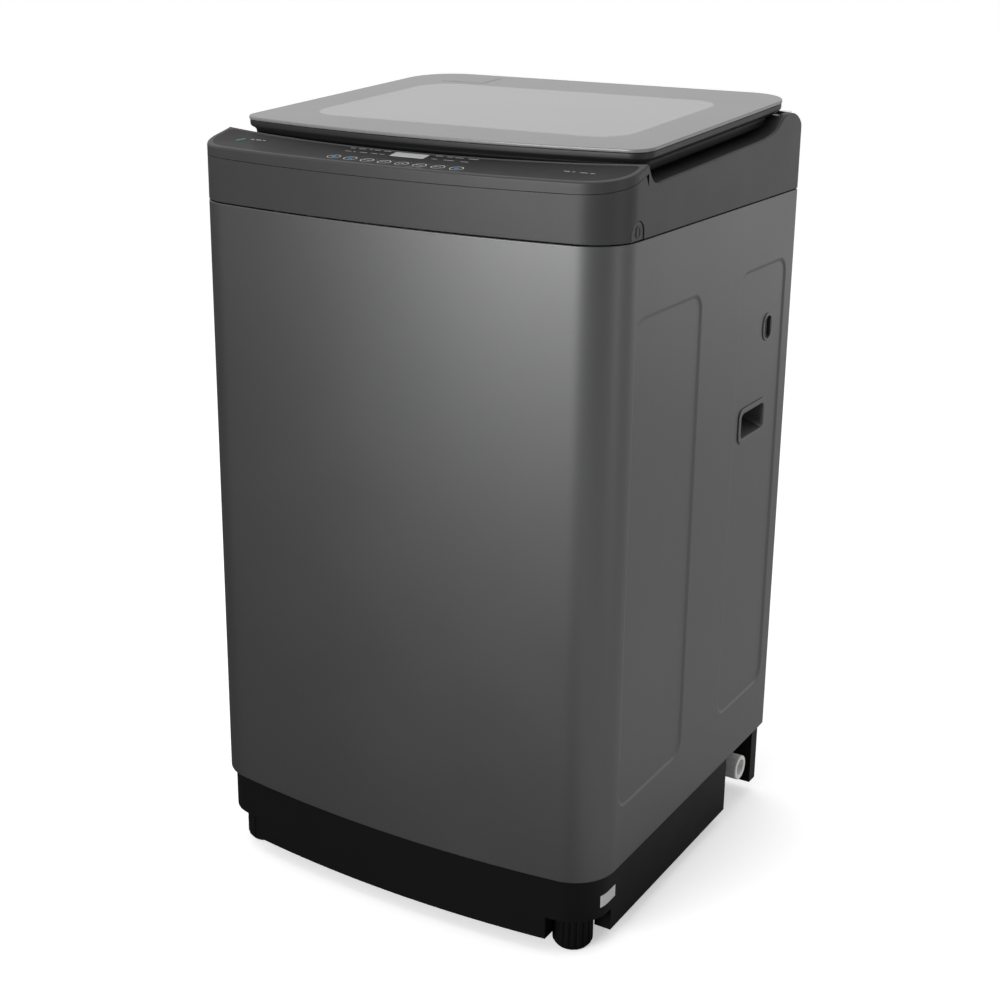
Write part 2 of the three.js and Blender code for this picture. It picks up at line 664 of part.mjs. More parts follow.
/** One soft key: a round cap flush with the film, on a short stem over its switch. */
function softKey(i) {
  const [x, y] = keyPlace(i);
  const round = bar(KEY_RADIUS, [x, y, 890], [x, y, 990], 12);
  const cap = panelSlab((depth) => panelHeight(depth) - 7, panelHeight).intersect(round);
  const stem = bar(2.5, [x, y, BOARD_Z + 2.2], [x, y, panelHeight(y) - 4], 8);
  return join(cap, stem);
}

/** Arched outline of a screw cap, grown or shrunk, open at the seam under the cover. */
function clipOutline(grow) {
  const { y, halfWidth, top } = CLIP;
  const reach = halfWidth + grow;
  return [
    new THREE.Vector2(y - reach, COVER_BOTTOM - 2),
    new THREE.Vector2(y + reach, COVER_BOTTOM - 2),
    ...arc(y, top - halfWidth, reach, 0, 180, 8),
  ];
}

/** Recess in the cover's side for the screw cap. */
function clipPocket() {
  return acrossX(clipOutline(0), HALF_WIDTH - CLIP.depth + 0.8, HALF_WIDTH + 2);
}

/** Screw cap that closes the recess, with an oval boss. */
function coverClip() {
  const floor = HALF_WIDTH - CLIP.depth + 0.8 + GAP;
  const plate = acrossX(clipOutline(-1.2), floor, floor + 0.9)
    .intersect(box(200, 300, -260, -150, COVER_BOTTOM, 900));
  const boss = acrossX(roundedRectangle(CLIP.y + 1, COVER_BOTTOM + 8, 5, 6.5, 4.9), floor, floor + 1.7);
  return join(plate, boss);
}

/** Detergent drawer: a tray with a front that is also its handle. */
function detergentDrawer() {
  const { halfWidth, front, back, z0, z1, wall } = DRAWER;
  const tray = box(-halfWidth, halfWidth, front, back, z0, z1 - 4);
  const room = box(-halfWidth + wall, -2, front + wall + 1, back - wall, z0 + wall, z1 + 5);
  const softener = box(2, halfWidth - wall, front + wall + 1, back - wall, z0 + wall, z1 + 5);
  const face = box(-halfWidth, halfWidth, front - 2.5, front + wall, z0, z1);
  const grip = box(-30, 30, front - 4, front - 1, z0 - 1, z0 + 12);
  return cut(join(tray, face), room, softener, grip);
}

/** Housing behind the mouth that the drawer slides in and the water falls through. */
function drawerHousing() {
  const { halfWidth, front, back, z0, z1 } = DRAWER;
  const shell = box(-halfWidth - 4, halfWidth + 4, front + 3, back + 5, z0 - 4, z1 + 4);
  const room = box(-halfWidth - 0.8, halfWidth + 0.8, front - 5, back + 1.5, z0 - 0.8, z1 + 0.8);
  const spout = box(-40, 40, front + 10, back - 30, z0 - 10, z0 + 5);
  return cut(shell, room, spout);
}

/** Water valve with two threaded inlets through the back of the cover. */
function inletValve() {
  const [cold, hot] = INLET.ports;
  const block = box(cold - 18, hot + 18, BACK - 40, BACK - COVER_WALL - 1, INLET.z - 17, INLET.z + 17);
  const coil = box(cold - 12, hot + 12, BACK - 38, BACK - 16, INLET.z - 33, INLET.z - 15);
  const pipes = join(...INLET.ports.map((x) => (
    bar(INLET.radius, [x, BACK - 10, INLET.z], [x, REAR_REACH, INLET.z], 20)
  )));
  const bores = INLET.ports.map((x) => (
    bar(INLET.bore, [x, BACK - 30, INLET.z], [x, REAR_REACH + 5, INLET.z], 16)
  ));
  return cut(join(block, coil, pipes), ...bores);
}

/** Lid switch and bolt under the right edge of the deck. */
function lidLock() {
  return box(212, 250, 96, 150, 880, 902);
}

// ---------------------------------------------------------------------------
// Lid
// ---------------------------------------------------------------------------

/** A slab with the lid's outline, moved in, with a hole through it. */
function lidRing(outerInset, z0, z1, hole) {
  return cut(prism(bowedOutline(LID, outerInset), z0, z1), hole);
}

/** The lid's window, grown or shrunk, as an upright prism through the lid. */
function windowPrism(grow) {
  const { halfWidth, front, back, corner } = LID_WINDOW;
  const [middle, halfDepth] = [(front + back) / 2, (back - front) / 2];
  return prism(roundedRectangle(0, middle, halfWidth + grow, halfDepth + grow, corner + grow, 5), -60, 10);
}

/** Moulded frame under the glass: an edge band, a groove, a skirt and two hinge lugs. */
function lidFrame() {
  const window = windowPrism(6);
  const band = lidRing(0.8, -16.5, -4.3, window);
  const bandRoom = cut(prism(bowedOutline(LID, 5), -16.6, -7.5), windowPrism(9));
  const skirtRing = lidRing(8, -27.5, -7.4, prism(bowedOutline(LID, 12), -60, 10));
  const skirt = cut(skirtRing, box(-300, 300, SKIRT_END, 300, -60, -12));
  const frame = join(cut(band, bandRoom), skirt);
  const drop = LID_Z - HINGE.z;
  const hingeZ = -drop * Math.cos(LID_TILT) - HINGE.y * Math.sin(LID_TILT);
  const hingeY = HINGE.y * Math.cos(LID_TILT) - drop * Math.sin(LID_TILT);
  const lugs = join(...[-1, 1].flatMap((side) => LUG_X.map((x) => (
    box(side * x - 9, side * x + 9, hingeY - 7, hingeY + 7, hingeZ - 6.5, -7.4)
  ))));
  const rodRoom = bar(HINGE.rodRadius + GAP, [-268, hingeY, hingeZ], [268, hingeY, hingeZ], 8);
  return cut(join(frame, lugs), rodRoom);
}

/** Liner that clamps the glass window from below. */
function lidLiner() {
  const room = prism(bowedOutline(LID, 16), -22, -17.2);
  const back = box(-300, 300, SKIRT_END + 4, 300, -60, 0);
  return cut(room, windowPrism(2), back);
}

/** Glass pane over the whole lid. */
function lidGlass() {
  return prism(bowedOutline(LID), -4, 0);
}

/** Rod that the lid turns on, between the two cheeks. */
function hingeRod() {
  const { y, z, rodRadius, rodEnd } = HINGE;
  return bar(rodRadius, [-rodEnd, y, z], [rodEnd, y, z], 10);
}

const lid = new THREE.Group();
lid.rotation.x = LID_TILT;
lid.position.z = LID_Z;

// ---------------------------------------------------------------------------
// Wash group
// ---------------------------------------------------------------------------

/** Outer tub, with a dished floor, a bearing seat and four hanging lugs. */
function outerTub() {
  const { radius, wall, bottom, top } = TUB;
  const shell = turned([
    [48, bottom], [radius - 14, bottom], [radius, bottom + 16], [radius, top],
    [radius - wall, top], [radius - wall, bottom + 17], [radius - 15, bottom + wall], [48, bottom + wall],
  ], 0, TUB_Y, 28);
  const lugs = HANGERS.map(([sx, sy]) => {
    const [x, y] = hangerPlace(sx, sy);
    const lug = cut(
      join(bar(21, [x, y, 300], [x, y, 318], 12), bracketTo(x, y, 300, 318)),
      bar(5, [x, y, 290], [x, y, 330], 12),
    );
    const inside = [[0, bottom + 10], [radius - 1, bottom + 10], [radius - 1, 500], [0, 500]];
    return cut(lug, turned(inside, 0, TUB_Y, 28));
  });
  const drain = bar(14, [DRAIN.x, DRAIN.y, bottom - 5], [DRAIN.x, DRAIN.y, bottom + 10], 14);
  return cut(join(shell, ...lugs), drain);
}

/** Where one suspension rod stands, in plan. */
function hangerPlace(sx, sy) {
  return [sx * HANGER.x, sy * HANGER.y + TUB_Y];
}

/** A block from the tub wall out to a hanger. */
function bracketTo(x, y, z0, z1) {
  const angle = Math.atan2(y - TUB_Y, x);
  const geometry = new THREE.BoxGeometry(60, 30, z1 - z0);
  geometry.rotateZ(angle);
  const reach = Math.hypot(x, y - TUB_Y) - 22;
  geometry.translate(reach * Math.cos(angle), TUB_Y + reach * Math.sin(angle), (z0 + z1) / 2);
  return solid(geometry);
}

/** Splash ring that closes the top of the outer tub round its mouth. */
function tubCover() {
  const { radius, top } = TUB;
  return turned([
    [178, 846], [182, 838], [196, 832], [radius - 6, 830], [radius, top + GAP],
    [radius + 4, top + GAP], [radius + 2, 834], [194, 836], [185, 841], [181.5, 848],
  ], 0, TUB_Y, 28);
}

/** Upright suspension rod that holds one of the tub's lugs. */
function suspensionRod(sx, sy) {
  const [x, y] = hangerPlace(sx, sy);
  const rod = bar(3.5, [x, y, TUB.bottom], [x, y, HANGER.top], 10);
  const head = bar(9, [x, y, HANGER.top - 6], [x, y, HANGER.top + 2], 12);
  return join(rod, head);
}

/** Spring cap under the tub's lug. */
function springCap(sx, sy) {
  const [x, y] = hangerPlace(sx, sy);
  return turned([
    [4, 264], [16, 264], [19, 268], [19, 299.4], [4, 299.4],
  ], x, y, 12);
}

/** Steel wash basket: a floor, a wall and a rolled top edge. */
function washBasket() {
  const { radius, wall, bottom, top } = BASKET;
  return turned([
    [60, bottom], [radius - 18, bottom], [radius - 5, bottom + 6], [radius, bottom + 20], [radius, top],
    [radius - wall, top], [radius - wall, bottom + 20.5], [radius - 6, bottom + 7.5],
    [radius - 18.5, bottom + wall], [60, bottom + wall],
  ], 0, TUB_Y, 28);
}

/** Liquid filled balance ring on top of the basket. */
function balanceRing() {
  const { inner, outer, bottom, top } = RING;
  return turned([
    [inner + 6, bottom + 4], [inner + 14, bottom], [outer, bottom], [outer, top - 4],
    [outer - 6, top], [inner + 8, top - 2], [inner, top - 12], [inner, bottom + 16],
  ], 0, TUB_Y, 28);
}

/** Cast hub that carries the basket on the spin shaft. */
function basketHub() {
  const dish = [[20.4, 268], [52, 268], [58, 274], [110, 280], [110, 287.5], [20.4, 287.5]];
  const disc = turned(dish, 0, TUB_Y, 20);
  const shaft = turned([[14.4, 152], [20, 152], [20, 270], [34, 270], [34, 280], [14.4, 280]], 0, TUB_Y, 24);
  const neck = turned([[19, 268], [24, 268], [24, 287.5], [19, 287.5]], 0, TUB_Y, 16);
  return join(disc, shaft, neck);
}

/** Lint filter cassette on the basket wall. */
function lintFilter() {
  const y = TUB_Y + BASKET.radius - BASKET.wall - 22;
  const body = box(-42, 42, y, y + 12, 520, 640);
  const room = box(-36, 36, y - 1, y + 9, 528, 632);
  const bars = join(...[-24, -12, 0, 12, 24].map((x) => box(x - 1.5, x + 1.5, y, y + 3, 525, 635)));
  return join(cut(body, room), bars);
}

/** Pulsator: a dished disc with six raised vanes and a centre cap. */
function pulsator() {
  const { radius, z } = PULSATOR;
  const disc = turned([
    [14, z], [radius - 6, z + 2], [radius, z + 6], [radius, z + 12], [radius - 14, z + 13],
    [70, z + 20], [34, z + 34], [14, z + 38],
  ], 0, TUB_Y, 24);
  const vanes = Array.from({ length: 6 }, (_, i) => {
    const geometry = new THREE.BoxGeometry(118, 16, 20);
    geometry.translate(88, 0, z + 22);
    geometry.rotateZ((i * Math.PI) / 3);
    geometry.translate(0, TUB_Y, 0);
    return solid(geometry);
  });
  const seat = turned([[0, z - 5], [13.2, z - 5], [13.2, z + 26], [0, z + 26]], 0, TUB_Y, 24);
  const cap = turned([[0, z + 27], [16, z + 27], [16, z + 38], [11, z + 42], [0, z + 43]], 0, TUB_Y, 16);
  return cut(join(disc, ...vanes, cap), seat);
}

/** Wash shaft inside the spin shaft, up to the pulsator. */
function washShaft() {
  const top = PULSATOR.z + 25.4;
  const profile = [[0, 153], [9, 153], [9, 200], [12.8, 204], [12.8, top - 4], [11, top], [0, top]];
  return turned(profile, 0, TUB_Y, 24);
}

/** Clutch and reduction housing under the tub. */
function gearbox() {
  return turned([
    [21, 176], [50, 176], [66, 186], [66, 226], [96, 236], [110, 250], [110, 261.4], [21, 261.4],
  ], 0, TUB_Y, 20);
}

/** Large driven pulley with six openings in its web. */
function drivePulley() {
  const { radius, z0, z1 } = PULLEY;
  const wheel = turned([
    [0, z0 + 4], [22, z0 + 4], [22, z0 + 7], [radius - 10, z0 + 7], [radius - 8, z0], [radius, z0],
    [radius - 6, z0 + 6], [radius - 6, z1 - 6], [radius, z1], [radius - 8, z1], [radius - 10, z0 + 13],
    [22, z0 + 13], [22, z1 + 3], [0, z1 + 3],
  ], 0, TUB_Y, 24);
  const holes = Array.from({ length: 6 }, (_, i) => {
    const angle = (i * Math.PI) / 3;
    const [x, y] = [54 * Math.cos(angle), TUB_Y + 54 * Math.sin(angle)];
    return bar(17, [x, y, z0 - 5], [x, y, z1 + 5], 8);
  });
  return cut(wheel, ...holes);
}

/** Motor: stator housing with a hole for its shaft and a mounting plate to the tub. */
function motor() {
  const { x, y, radius, z0, z1 } = MOTOR;
  const housing = turned([
    [8, z0], [radius - 12, z0], [radius, z0 + 10], [radius, z1 - 8], [radius - 10, z1], [8, z1],
  ], x, y, 20);
  const plate = cut(box(x - 62, x + 20, y - 20, y + 62, z1 - 6, z1), bar(8, [x, y, 150], [x, y, 260], 16));
  const posts = join(
    box(x - 60, x - 40, y - 15, y + 5, z1 - 3, TUB.bottom - GAP),
    box(x - 5, x + 15, y + 40, y + 60, z1 - 3, TUB.bottom - GAP),
  );
  return join(housing, plate, posts);
}

/** Rotor shaft with its small belt pulley. */
function motorPulley() {
  const { x, y, pulleyRadius } = MOTOR;
  const { z0, z1 } = PULLEY;
  return turned([
    [0, z0], [pulleyRadius, z0], [pulleyRadius - 6, z0 + 6], [pulleyRadius - 6, z1 - 6], [pulleyRadius, z1],
    [7, z1 + 2], [7, MOTOR.z1 - 6], [0, MOTOR.z1 - 6],
  ], x, y, 16);
}

/** Drive belt round both pulleys. */
function driveBelt() {
  const [dx, dy] = [MOTOR.x, MOTOR.y - TUB_Y];
  const distance = Math.hypot(dx, dy);
  const heading = THREE.MathUtils.radToDeg(Math.atan2(dy, dx));
  const [big, small] = [PULLEY.radius - 6 + BELT_LIFT, MOTOR.pulleyRadius - 6 + BELT_LIFT];
  const wrap = THREE.MathUtils.radToDeg(Math.acos((big - small) / distance));
  const loop = (grow) => [
    ...arc(0, TUB_Y, big + grow, heading + wrap, heading + 360 - wrap, 14),
    ...arc(MOTOR.x, MOTOR.y, small + grow, heading - wrap, heading + wrap, 7),
  ];
  const [low, high] = [PULLEY.z0 + 6.5, PULLEY.z1 - 6.5];
  return cut(prism(loop(4), low, high), prism(loop(0), low - 1, high + 1));
}

/** Drain valve under the tub's outlet. */
function drainValve() {
  const { x, y } = DRAIN;
  const body = bar(24, [x, y, 208], [x, y, TUB.bottom - GAP], 18);
  const side = bar(15, [x, y, 228], [x + 52, y, 228], 14);
  const actuator = box(x - 58, x - 10, y - 18, y + 18, 212, 246);
  const boreDown = bar(12, [x, y, 220], [x, y, 270], 12);
  const boreSide = bar(11, [x, y, 228], [x + 60, y, 228], 12);
  return cut(join(body, side, actuator), boreDown, boreSide);
}

/** Inner drain hose from the valve down to the side spigot. */
function drainHose() {
  const path = new THREE.CatmullRomCurve3([
    [DRAIN.x + 52.3, DRAIN.y, 228],
    [DRAIN.x + 58, DRAIN.y, 228],
    [DRAIN.x + 70, DRAIN.y + 5, 214],
    [DRAIN.x + 63, DRAIN.y + 20, 178],
    [DRAIN.x + 46, DRAIN.y + 36, 122],
    [DRAIN.x + 24, DRAIN.y + 60, 76],
    [DRAIN.x + 36, SPIGOT.y - 5, SPIGOT.z + 1],
    [SPIGOT.end - SPIGOT.length - 8, SPIGOT.y, SPIGOT.z],
    [SPIGOT.end - SPIGOT.length - GAP, SPIGOT.y, SPIGOT.z],
  ].map((point) => new THREE.Vector3(...point)));
  const ring = new THREE.Shape(arc(0, 0, 13, 0, 324, 9));
  return solid(new THREE.ExtrudeGeometry(ring, { steps: 14, extrudePath: path }));
}

/** Spigot that the outside drain hose pushes over, opening to the right. */
function drainSpigot() {
  const { y, z, outer, inner, end, length } = SPIGOT;
  const start = end - length;
  const tube = bar(outer, [start, y, z], [end, y, z], 16);
  const flange = bar(outer + 3, [start, y, z], [start + 6, y, z], 16);
  return cut(join(tube, flange), bar(inner, [start + 6, y, z], [end + 5, y, z], 16));
}

// ---------------------------------------------------------------------------
// Assembly
// ---------------------------------------------------------------------------

addPiece('cabinet_wrap', cabinetWrap(), PAINT);
addPiece('rear_panel', rearPanel(), ZINC);
addPiece('base_frame', baseFrame(), BLACK_PLASTIC);
addPair('side_handle', sideHandle(), PAINT);
addPair('slot_rim', slotRim(), PAINT);
addPair('front_foot', levellingFoot(), BLACK_PLASTIC);
addPair('rear_foot', rearFoot(), RUBBER);
addPiece('cord_gland', cordGland(), BLACK_PLASTIC);

addPiece('top_cover', topCover(), COVER_PLASTIC);
addPair('cover_clip', coverClip(), COVER_PLASTIC);
addPiece('control_panel', controlPanel(), COVER_PLASTIC);
addPiece('panel_film', panelFilm(), PANEL_FILM);
addPiece('display_window', displayWindow(), GLASS);
addPiece('control_board', controlBoard(), BOARD);
for (let i = 0; i < KEY_COUNT; i += 1) addPiece(`soft_key_${i + 1}`, softKey(i), PANEL_FILM);
addPiece('detergent_drawer', detergentDrawer(), GREY_PLASTIC);
addPiece('drawer_housing', drawerHousing(), WHITE_PLASTIC);
addPiece('inlet_valve', inletValve(), WHITE_PLASTIC);
addPiece('lid_lock', lidLock(), BLACK_PLASTIC);

addPiece('lid_glass', lidGlass(), GLASS, lid);
addPiece('lid_frame', lidFrame(), COVER_PLASTIC, lid);
addPiece('lid_liner', lidLiner(), BLACK_PLASTIC, lid);
machine.add(lid);
addPiece('lid_hinge_rod', hingeRod(), STAINLESS);

addPiece('outer_tub', outerTub(), WHITE_PLASTIC);
addPiece('tub_cover', tubCover(), WHITE_PLASTIC);
HANGERS.forEach(([sx, sy], i) => {
  addPiece(`suspension_rod_${i + 1}`, suspensionRod(sx, sy), ZINC);
  addPiece(`spring_cap_${i + 1}`, springCap(sx, sy), WHITE_PLASTIC);
});
addPiece('wash_basket', washBasket(), STAINLESS);
addPiece('balance_ring', balanceRing(), GREY_PLASTIC);
addPiece('basket_hub', basketHub(), CAST);
addPiece('lint_filter', lintFilter(), GREY_PLASTIC);
addPiece('pulsator', pulsator(), GREY_PLASTIC);
addPiece('wash_shaft', washShaft(), STAINLESS);
addPiece('gearbox', gearbox(), CAST);
addPiece('drive_pulley', drivePulley(), CAST);
addPiece('drive_belt', driveBelt(), RUBBER);
addPiece('motor', motor(), ZINC);
addPiece('motor_pulley', motorPulley(), CAST);
addPiece('drain_valve', drainValve(), WHITE_PLASTIC);
addPiece('drain_hose', drainHose(), RUBBER);
addPiece('drain_spigot', drainSpigot(), WHITE_PLASTIC);

export default machine;
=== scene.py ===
"""The looks of a top load washing machine, built round its CAD frame.

Shapes are worked out in millimetres in the CAD frame (+X right, -Y front, +Z up) and written in metres.
"""

import json
import math

import bmesh
import bpy
from mathutils import Matrix, Vector
from mathutils.geometry import delaunay_2d_cdt


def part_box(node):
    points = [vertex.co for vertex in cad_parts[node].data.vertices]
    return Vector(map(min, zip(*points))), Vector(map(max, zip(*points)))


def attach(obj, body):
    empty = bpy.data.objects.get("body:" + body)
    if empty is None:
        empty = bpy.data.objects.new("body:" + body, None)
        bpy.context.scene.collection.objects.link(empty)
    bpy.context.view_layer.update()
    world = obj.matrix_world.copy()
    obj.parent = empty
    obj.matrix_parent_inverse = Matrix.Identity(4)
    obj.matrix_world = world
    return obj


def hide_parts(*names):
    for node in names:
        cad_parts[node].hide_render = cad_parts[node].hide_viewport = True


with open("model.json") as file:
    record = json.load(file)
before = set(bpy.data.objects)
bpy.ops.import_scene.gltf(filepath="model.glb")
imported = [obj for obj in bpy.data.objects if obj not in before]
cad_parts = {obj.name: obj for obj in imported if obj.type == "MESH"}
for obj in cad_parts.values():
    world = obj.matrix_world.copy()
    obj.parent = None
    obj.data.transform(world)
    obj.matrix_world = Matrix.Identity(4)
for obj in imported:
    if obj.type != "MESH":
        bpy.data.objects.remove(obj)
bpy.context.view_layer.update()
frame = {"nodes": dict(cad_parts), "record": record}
MM = 0.001


# ----------------------------------------
# Driving dimensions, in millimetres, with what the frame can tell read from it
# ----------------------------------------


def node_box(name):
    """A CAD node's lowest and highest corners, in millimetres."""
    low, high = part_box(name)
    return [value / MM for value in low], [value / MM for value in high]


def node_middle(name):
    """The middle of a CAD node's box, in millimetres."""
    return [(a + b) / 2 for a, b in zip(*node_box(name))]


WRAP_LOW, WRAP_HIGH = node_box("cabinet_wrap")

HALF_WIDTH = WRAP_HIGH[0]
FRONT = WRAP_LOW[1]
BACK = WRAP_HIGH[1]
STEEL_BOTTOM = WRAP_LOW[2]
STEEL_TOP = WRAP_HIGH[2]
COVER_BOTTOM = node_box("top_cover")[0][2]
BASE_BOTTOM = node_box("base_frame")[0][2]
BOW = 24.4
BOW_RADIUS = (HALF_WIDTH**2 + BOW**2) / (2 * BOW)
SHEET = 0.9

# Plan outlines, as half width, front, back, bow of the front, front corner and rear corner
CABINET = (HALF_WIDTH, FRONT, BACK, BOW, 55.3, 11)
LID = (270.4, -194.5, 250.2, 24.9, 26.6, 60.6)
BASE_INSET = 6.6
RETURN_REACH = 250

# Pressed fields, grips and slots in the cabinet's sides, as y, z, half width, half height, corner
FIELD_DEPTH = 2.0
FIELD_RAMP = 5.5
FIELDS = [(-116, 474, 86, 293, 22), (152.75, 475, 72.25, 294, 22)]
GRIP = (143, 570, 43, 23, 12)
SLOT = (176.5, 685, 14.5, 18, 14.4)
SIDES = ((1, "right"), (-1, "left"))

# Rear panel: its raised field, its vents and its screws
REAR_FIELD = (0, 555, 200, 225, 18)
VENTS = [(-80 + 20 * i, 260, 3, 30, 2.9) for i in range(9)]
SCREW_X = 256
SCREW_HEIGHTS = (130, 300, 480, 660, 832)

# Control panel and cover: heights, slopes and edges
PANEL_FRONT_Z = 914.5
PANEL_CURVE = 0.00157
PARTING_DROP = 13.5
PARTING_RISE = 4.6
PARTING_RUN = 93
FILM_INSET = 7
FILM_BACK = -4
PANEL_EDGE = -207
PANEL_SIDE_Y = PANEL_EDGE + HALF_WIDTH**2 / (2 * BOW_RADIUS)
STEP_Z = 904
DECK_Z = 906.5
DECK_SLOPE = 0.0606
CONSOLE_Z = 940.5
CONSOLE_RIDGE = 3.8
CHANNEL_RADIUS = 29
PANEL_BACK_STEPS = 48
MOUTH = (0, -2, 200, 150, 105)
MOUTH_BOTTOM = 858
MOUTH_ROLL = 4
EDGE_ROLL = 2.6
CLIP_TOP = 872
CLIP_HALF = 14

# Lid, tilted about X
LID_TILT = math.radians(3.365)
LID_Z = 950.3
LID_WINDOW = (0, 20, 212, 142, 42)
GLASS = 4.0
SKIRT_END = 168
LINER_BACK = 172
LINER_LOW = -21.5
LINER_HIGH = -17.4
LUG_PLACES = (-232, -150, 150, 232)
HINGE_Y = 232
HINGE_Z = 944
HINGE_REACH = 270.6

# Keys and wash group
KEY_COUNT = 8
BLUE_KEYS = (0, 1, 7)
KEY_HOLE = 8.3
TUB_Y = -8
TUB_AXIS = (0, TUB_Y, 0)
BASKET_RADIUS = 217
PULSATOR_RADIUS = 165

# Light: the sky's strength, what is left of it on its shaded side, and the floor's glow to the camera
SKY = 0.95
SKY_SHADE = 0.05
FLOOR_GLOW = 0.42

scene = bpy.context.scene


# ----------------------------------------
# Curves and outlines
# ----------------------------------------


def smoothstep(value):
    """A soft step from 0 to 1."""
    value = min(max(value, 0.0), 1.0)
    return value * value * (3 - 2 * value)


def mix(a, b, share):
    """The value that lies that share of the way from a to b."""
    return a + (b - a) * share


def arc(cx, cy, radius, start, end, steps):
    """Points and outward normals of an arc, with its angles in degrees."""
    out = []
    for i in range(steps + 1):
        angle = math.radians(mix(start, end, i / steps))
        nx, ny = math.cos(angle), math.sin(angle)
        out.append((cx + radius * nx, cy + radius * ny, nx, ny))
    return out


class Outline:
    """A closed outline that runs anticlockwise, with its outward normals and its length."""

    def __init__(self, stations):
        self.points = [(x, y) for x, y, _, _ in stations]
        self.normals = [(nx, ny) for _, _, nx, ny in stations]
        self.lengths = [0.0]
        for (ax, ay), (bx, by) in zip(self.points, self.points[1:] + self.points[:1]):
            self.lengths.append(self.lengths[-1] + math.hypot(bx - ax, by - ay))

    def ring(self, inset=0.0):
        """The outline's points, moved in."""
        return [(x - nx * inset, y - ny * inset) for (x, y), (nx, ny) in zip(self.points, self.normals)]

    def at(self, length, depth=0.0):
        """The point that far along the outline, moved in by the depth."""
        length = min(max(length, 0.0), self.lengths[-1])
        low, high = 0, len(self.lengths) - 1
        while high - low > 1:
            middle = (low + high) // 2
            if self.lengths[middle] <= length:
                low = middle
            else:
                high = middle
        share = (length - self.lengths[low]) / max(self.lengths[low + 1] - self.lengths[low], 1e-9)
        after = (low + 1) % len(self.points)
        (ax, ay), (bx, by) = self.points[low], self.points[after]
        nx, ny = (mix(a, b, share) for a, b in zip(self.normals[low], self.normals[after]))
        return mix(ax, bx, share) - nx * depth, mix(ay, by, share) - ny * depth

    def length_at(self, x, y):
        """How far along the outline its nearest point to (x, y) is."""
        best = (1e9, 0.0)
        for i, (ax, ay) in enumerate(self.points):
            bx, by = self.points[(i + 1) % len(self.points)]
            dx, dy = bx - ax, by - ay
            span = dx * dx + dy * dy
            share = min(max(((x - ax) * dx + (y - ay) * dy) / max(span, 1e-12), 0.0), 1.0)
            gap = math.hypot(ax + dx * share - x, ay + dy * share - y)
            best = min(best, (gap, self.lengths[i] + share * math.sqrt(span)))
        return best[1]


def bowed(plan, inset=0.0, side_stations=(), bow_steps=56, corner_steps=14, rear_steps=8):
    """Outline with a bowed front, from the middle of the back round by the left side."""
    half, front, back, bow, front_corner, rear_corner = plan
    radius = (half**2 + bow**2) / (2 * bow)
    centre = front + radius
    reach = radius - inset
    corner = max(front_corner - inset, 1.0)
    rear = max(rear_corner - inset, 1.0)
    corner_x = half - inset - corner
    corner_y = centre - math.sqrt((reach - corner) ** 2 - corner_x**2)
    lean = math.degrees(math.atan2(corner_x, centre - corner_y))
    rear_x, rear_y = half - inset - rear, back - inset - rear
    middle = [y for y in sorted(side_stations) if corner_y + 0.5 < y < rear_y - 0.5]
    left = [(-(half - inset), y, -1.0, 0.0) for y in reversed(middle)]
    right = [(half - inset, y, 1.0, 0.0) for y in middle]
    return Outline(
        [(0.0, back - inset, 0.0, 1.0)]
        + arc(-rear_x, rear_y, rear, 90, 180, rear_steps)
        + left
        + arc(-corner_x, corner_y, corner, 180, 270 - lean, corner_steps)
        + arc(0, centre, reach, 270 - lean, 270 + lean, bow_steps)[1:-1]
        + arc(corner_x, corner_y, corner, 270 + lean, 360, corner_steps)
        + right
        + arc(rear_x, rear_y, rear, 0, 90, rear_steps)
    )


def rounded(shape, grow=0.0, steps=8):
    """Outline of a rectangle with rounded corners: shape is its middle, half sizes and corner."""
    cx, cy, half_width, half_height, corner = shape
    corner = max(corner + grow, 0.05)
    w, h = half_width + grow - corner, half_height + grow - corner
    stations = []
    for sx, sy, start in ((1, -1, -90), (1, 1, 0), (-1, 1, 90), (-1, -1, 180)):
        stations += arc(cx + sx * w, cy + sy * h, corner, start, start + 90, steps)
    return Outline(stations)


def inside_rounded(shape, x, y):
    """How far a point lies inside a rounded rectangle, below zero when it is outside."""
    cx, cy, half_width, half_height, corner = shape
    dx, dy = abs(x - cx) - (half_width - corner), abs(y - cy) - (half_height - corner)
    return corner - math.hypot(max(dx, 0.0), max(dy, 0.0)) - min(max(dx, dy), 0.0)


def offset_loop(points, inset):
    """A closed anticlockwise polygon moved inwards, with mitred corners."""
    out = []
    count = len(points)
    for i, (x, y) in enumerate(points):
        ax, ay = points[i - 1]
        bx, by = points[(i + 1) % count]
        first = Vector((y - ay, ax - x)).normalized()
        second = Vector((by - y, x - bx)).normalized()
        bisector = (first + second).normalized()
        step = inset / max(bisector.dot(first), 0.5)
        out.append((x - bisector.x * step, y - bisector.y * step))
    return out


def fillet(points, radius):
    """Rounds those corners of a closed polygon that turn by 30 degrees or more."""
    out = []
    steps = 6
    count = len(points)
    for i, point in enumerate(points):
        here = Vector(point)
        before = (Vector(points[i - 1]) - here).normalized()
        after = (Vector(points[(i + 1) % count]) - here).normalized()
        turn = 180 - math.degrees(math.acos(max(-1.0, min(1.0, before.dot(after)))))
        if turn < 30:
            out.append(point)
            continue
        reach = radius * math.tan(math.radians(turn) / 2)
        start, end = here + before * reach, here + after * reach
        for k in range(steps + 1):
            share = k / steps
            bend = start.lerp(here, share).lerp(here.lerp(end, share), share)
            out.append((bend.x, bend.y))
    return out


def spread(points, spacing):
    """A closed polygon with its long edges split into even steps."""
    out = []
    for (ax, ay), (bx, by) in zip(points, points[1:] + points[:1]):
        steps = max(1, math.ceil(math.hypot(bx - ax, by - ay) / spacing))
        out += [(mix(ax, bx, k / steps), mix(ay, by, k / steps)) for k in range(steps)]
    return out


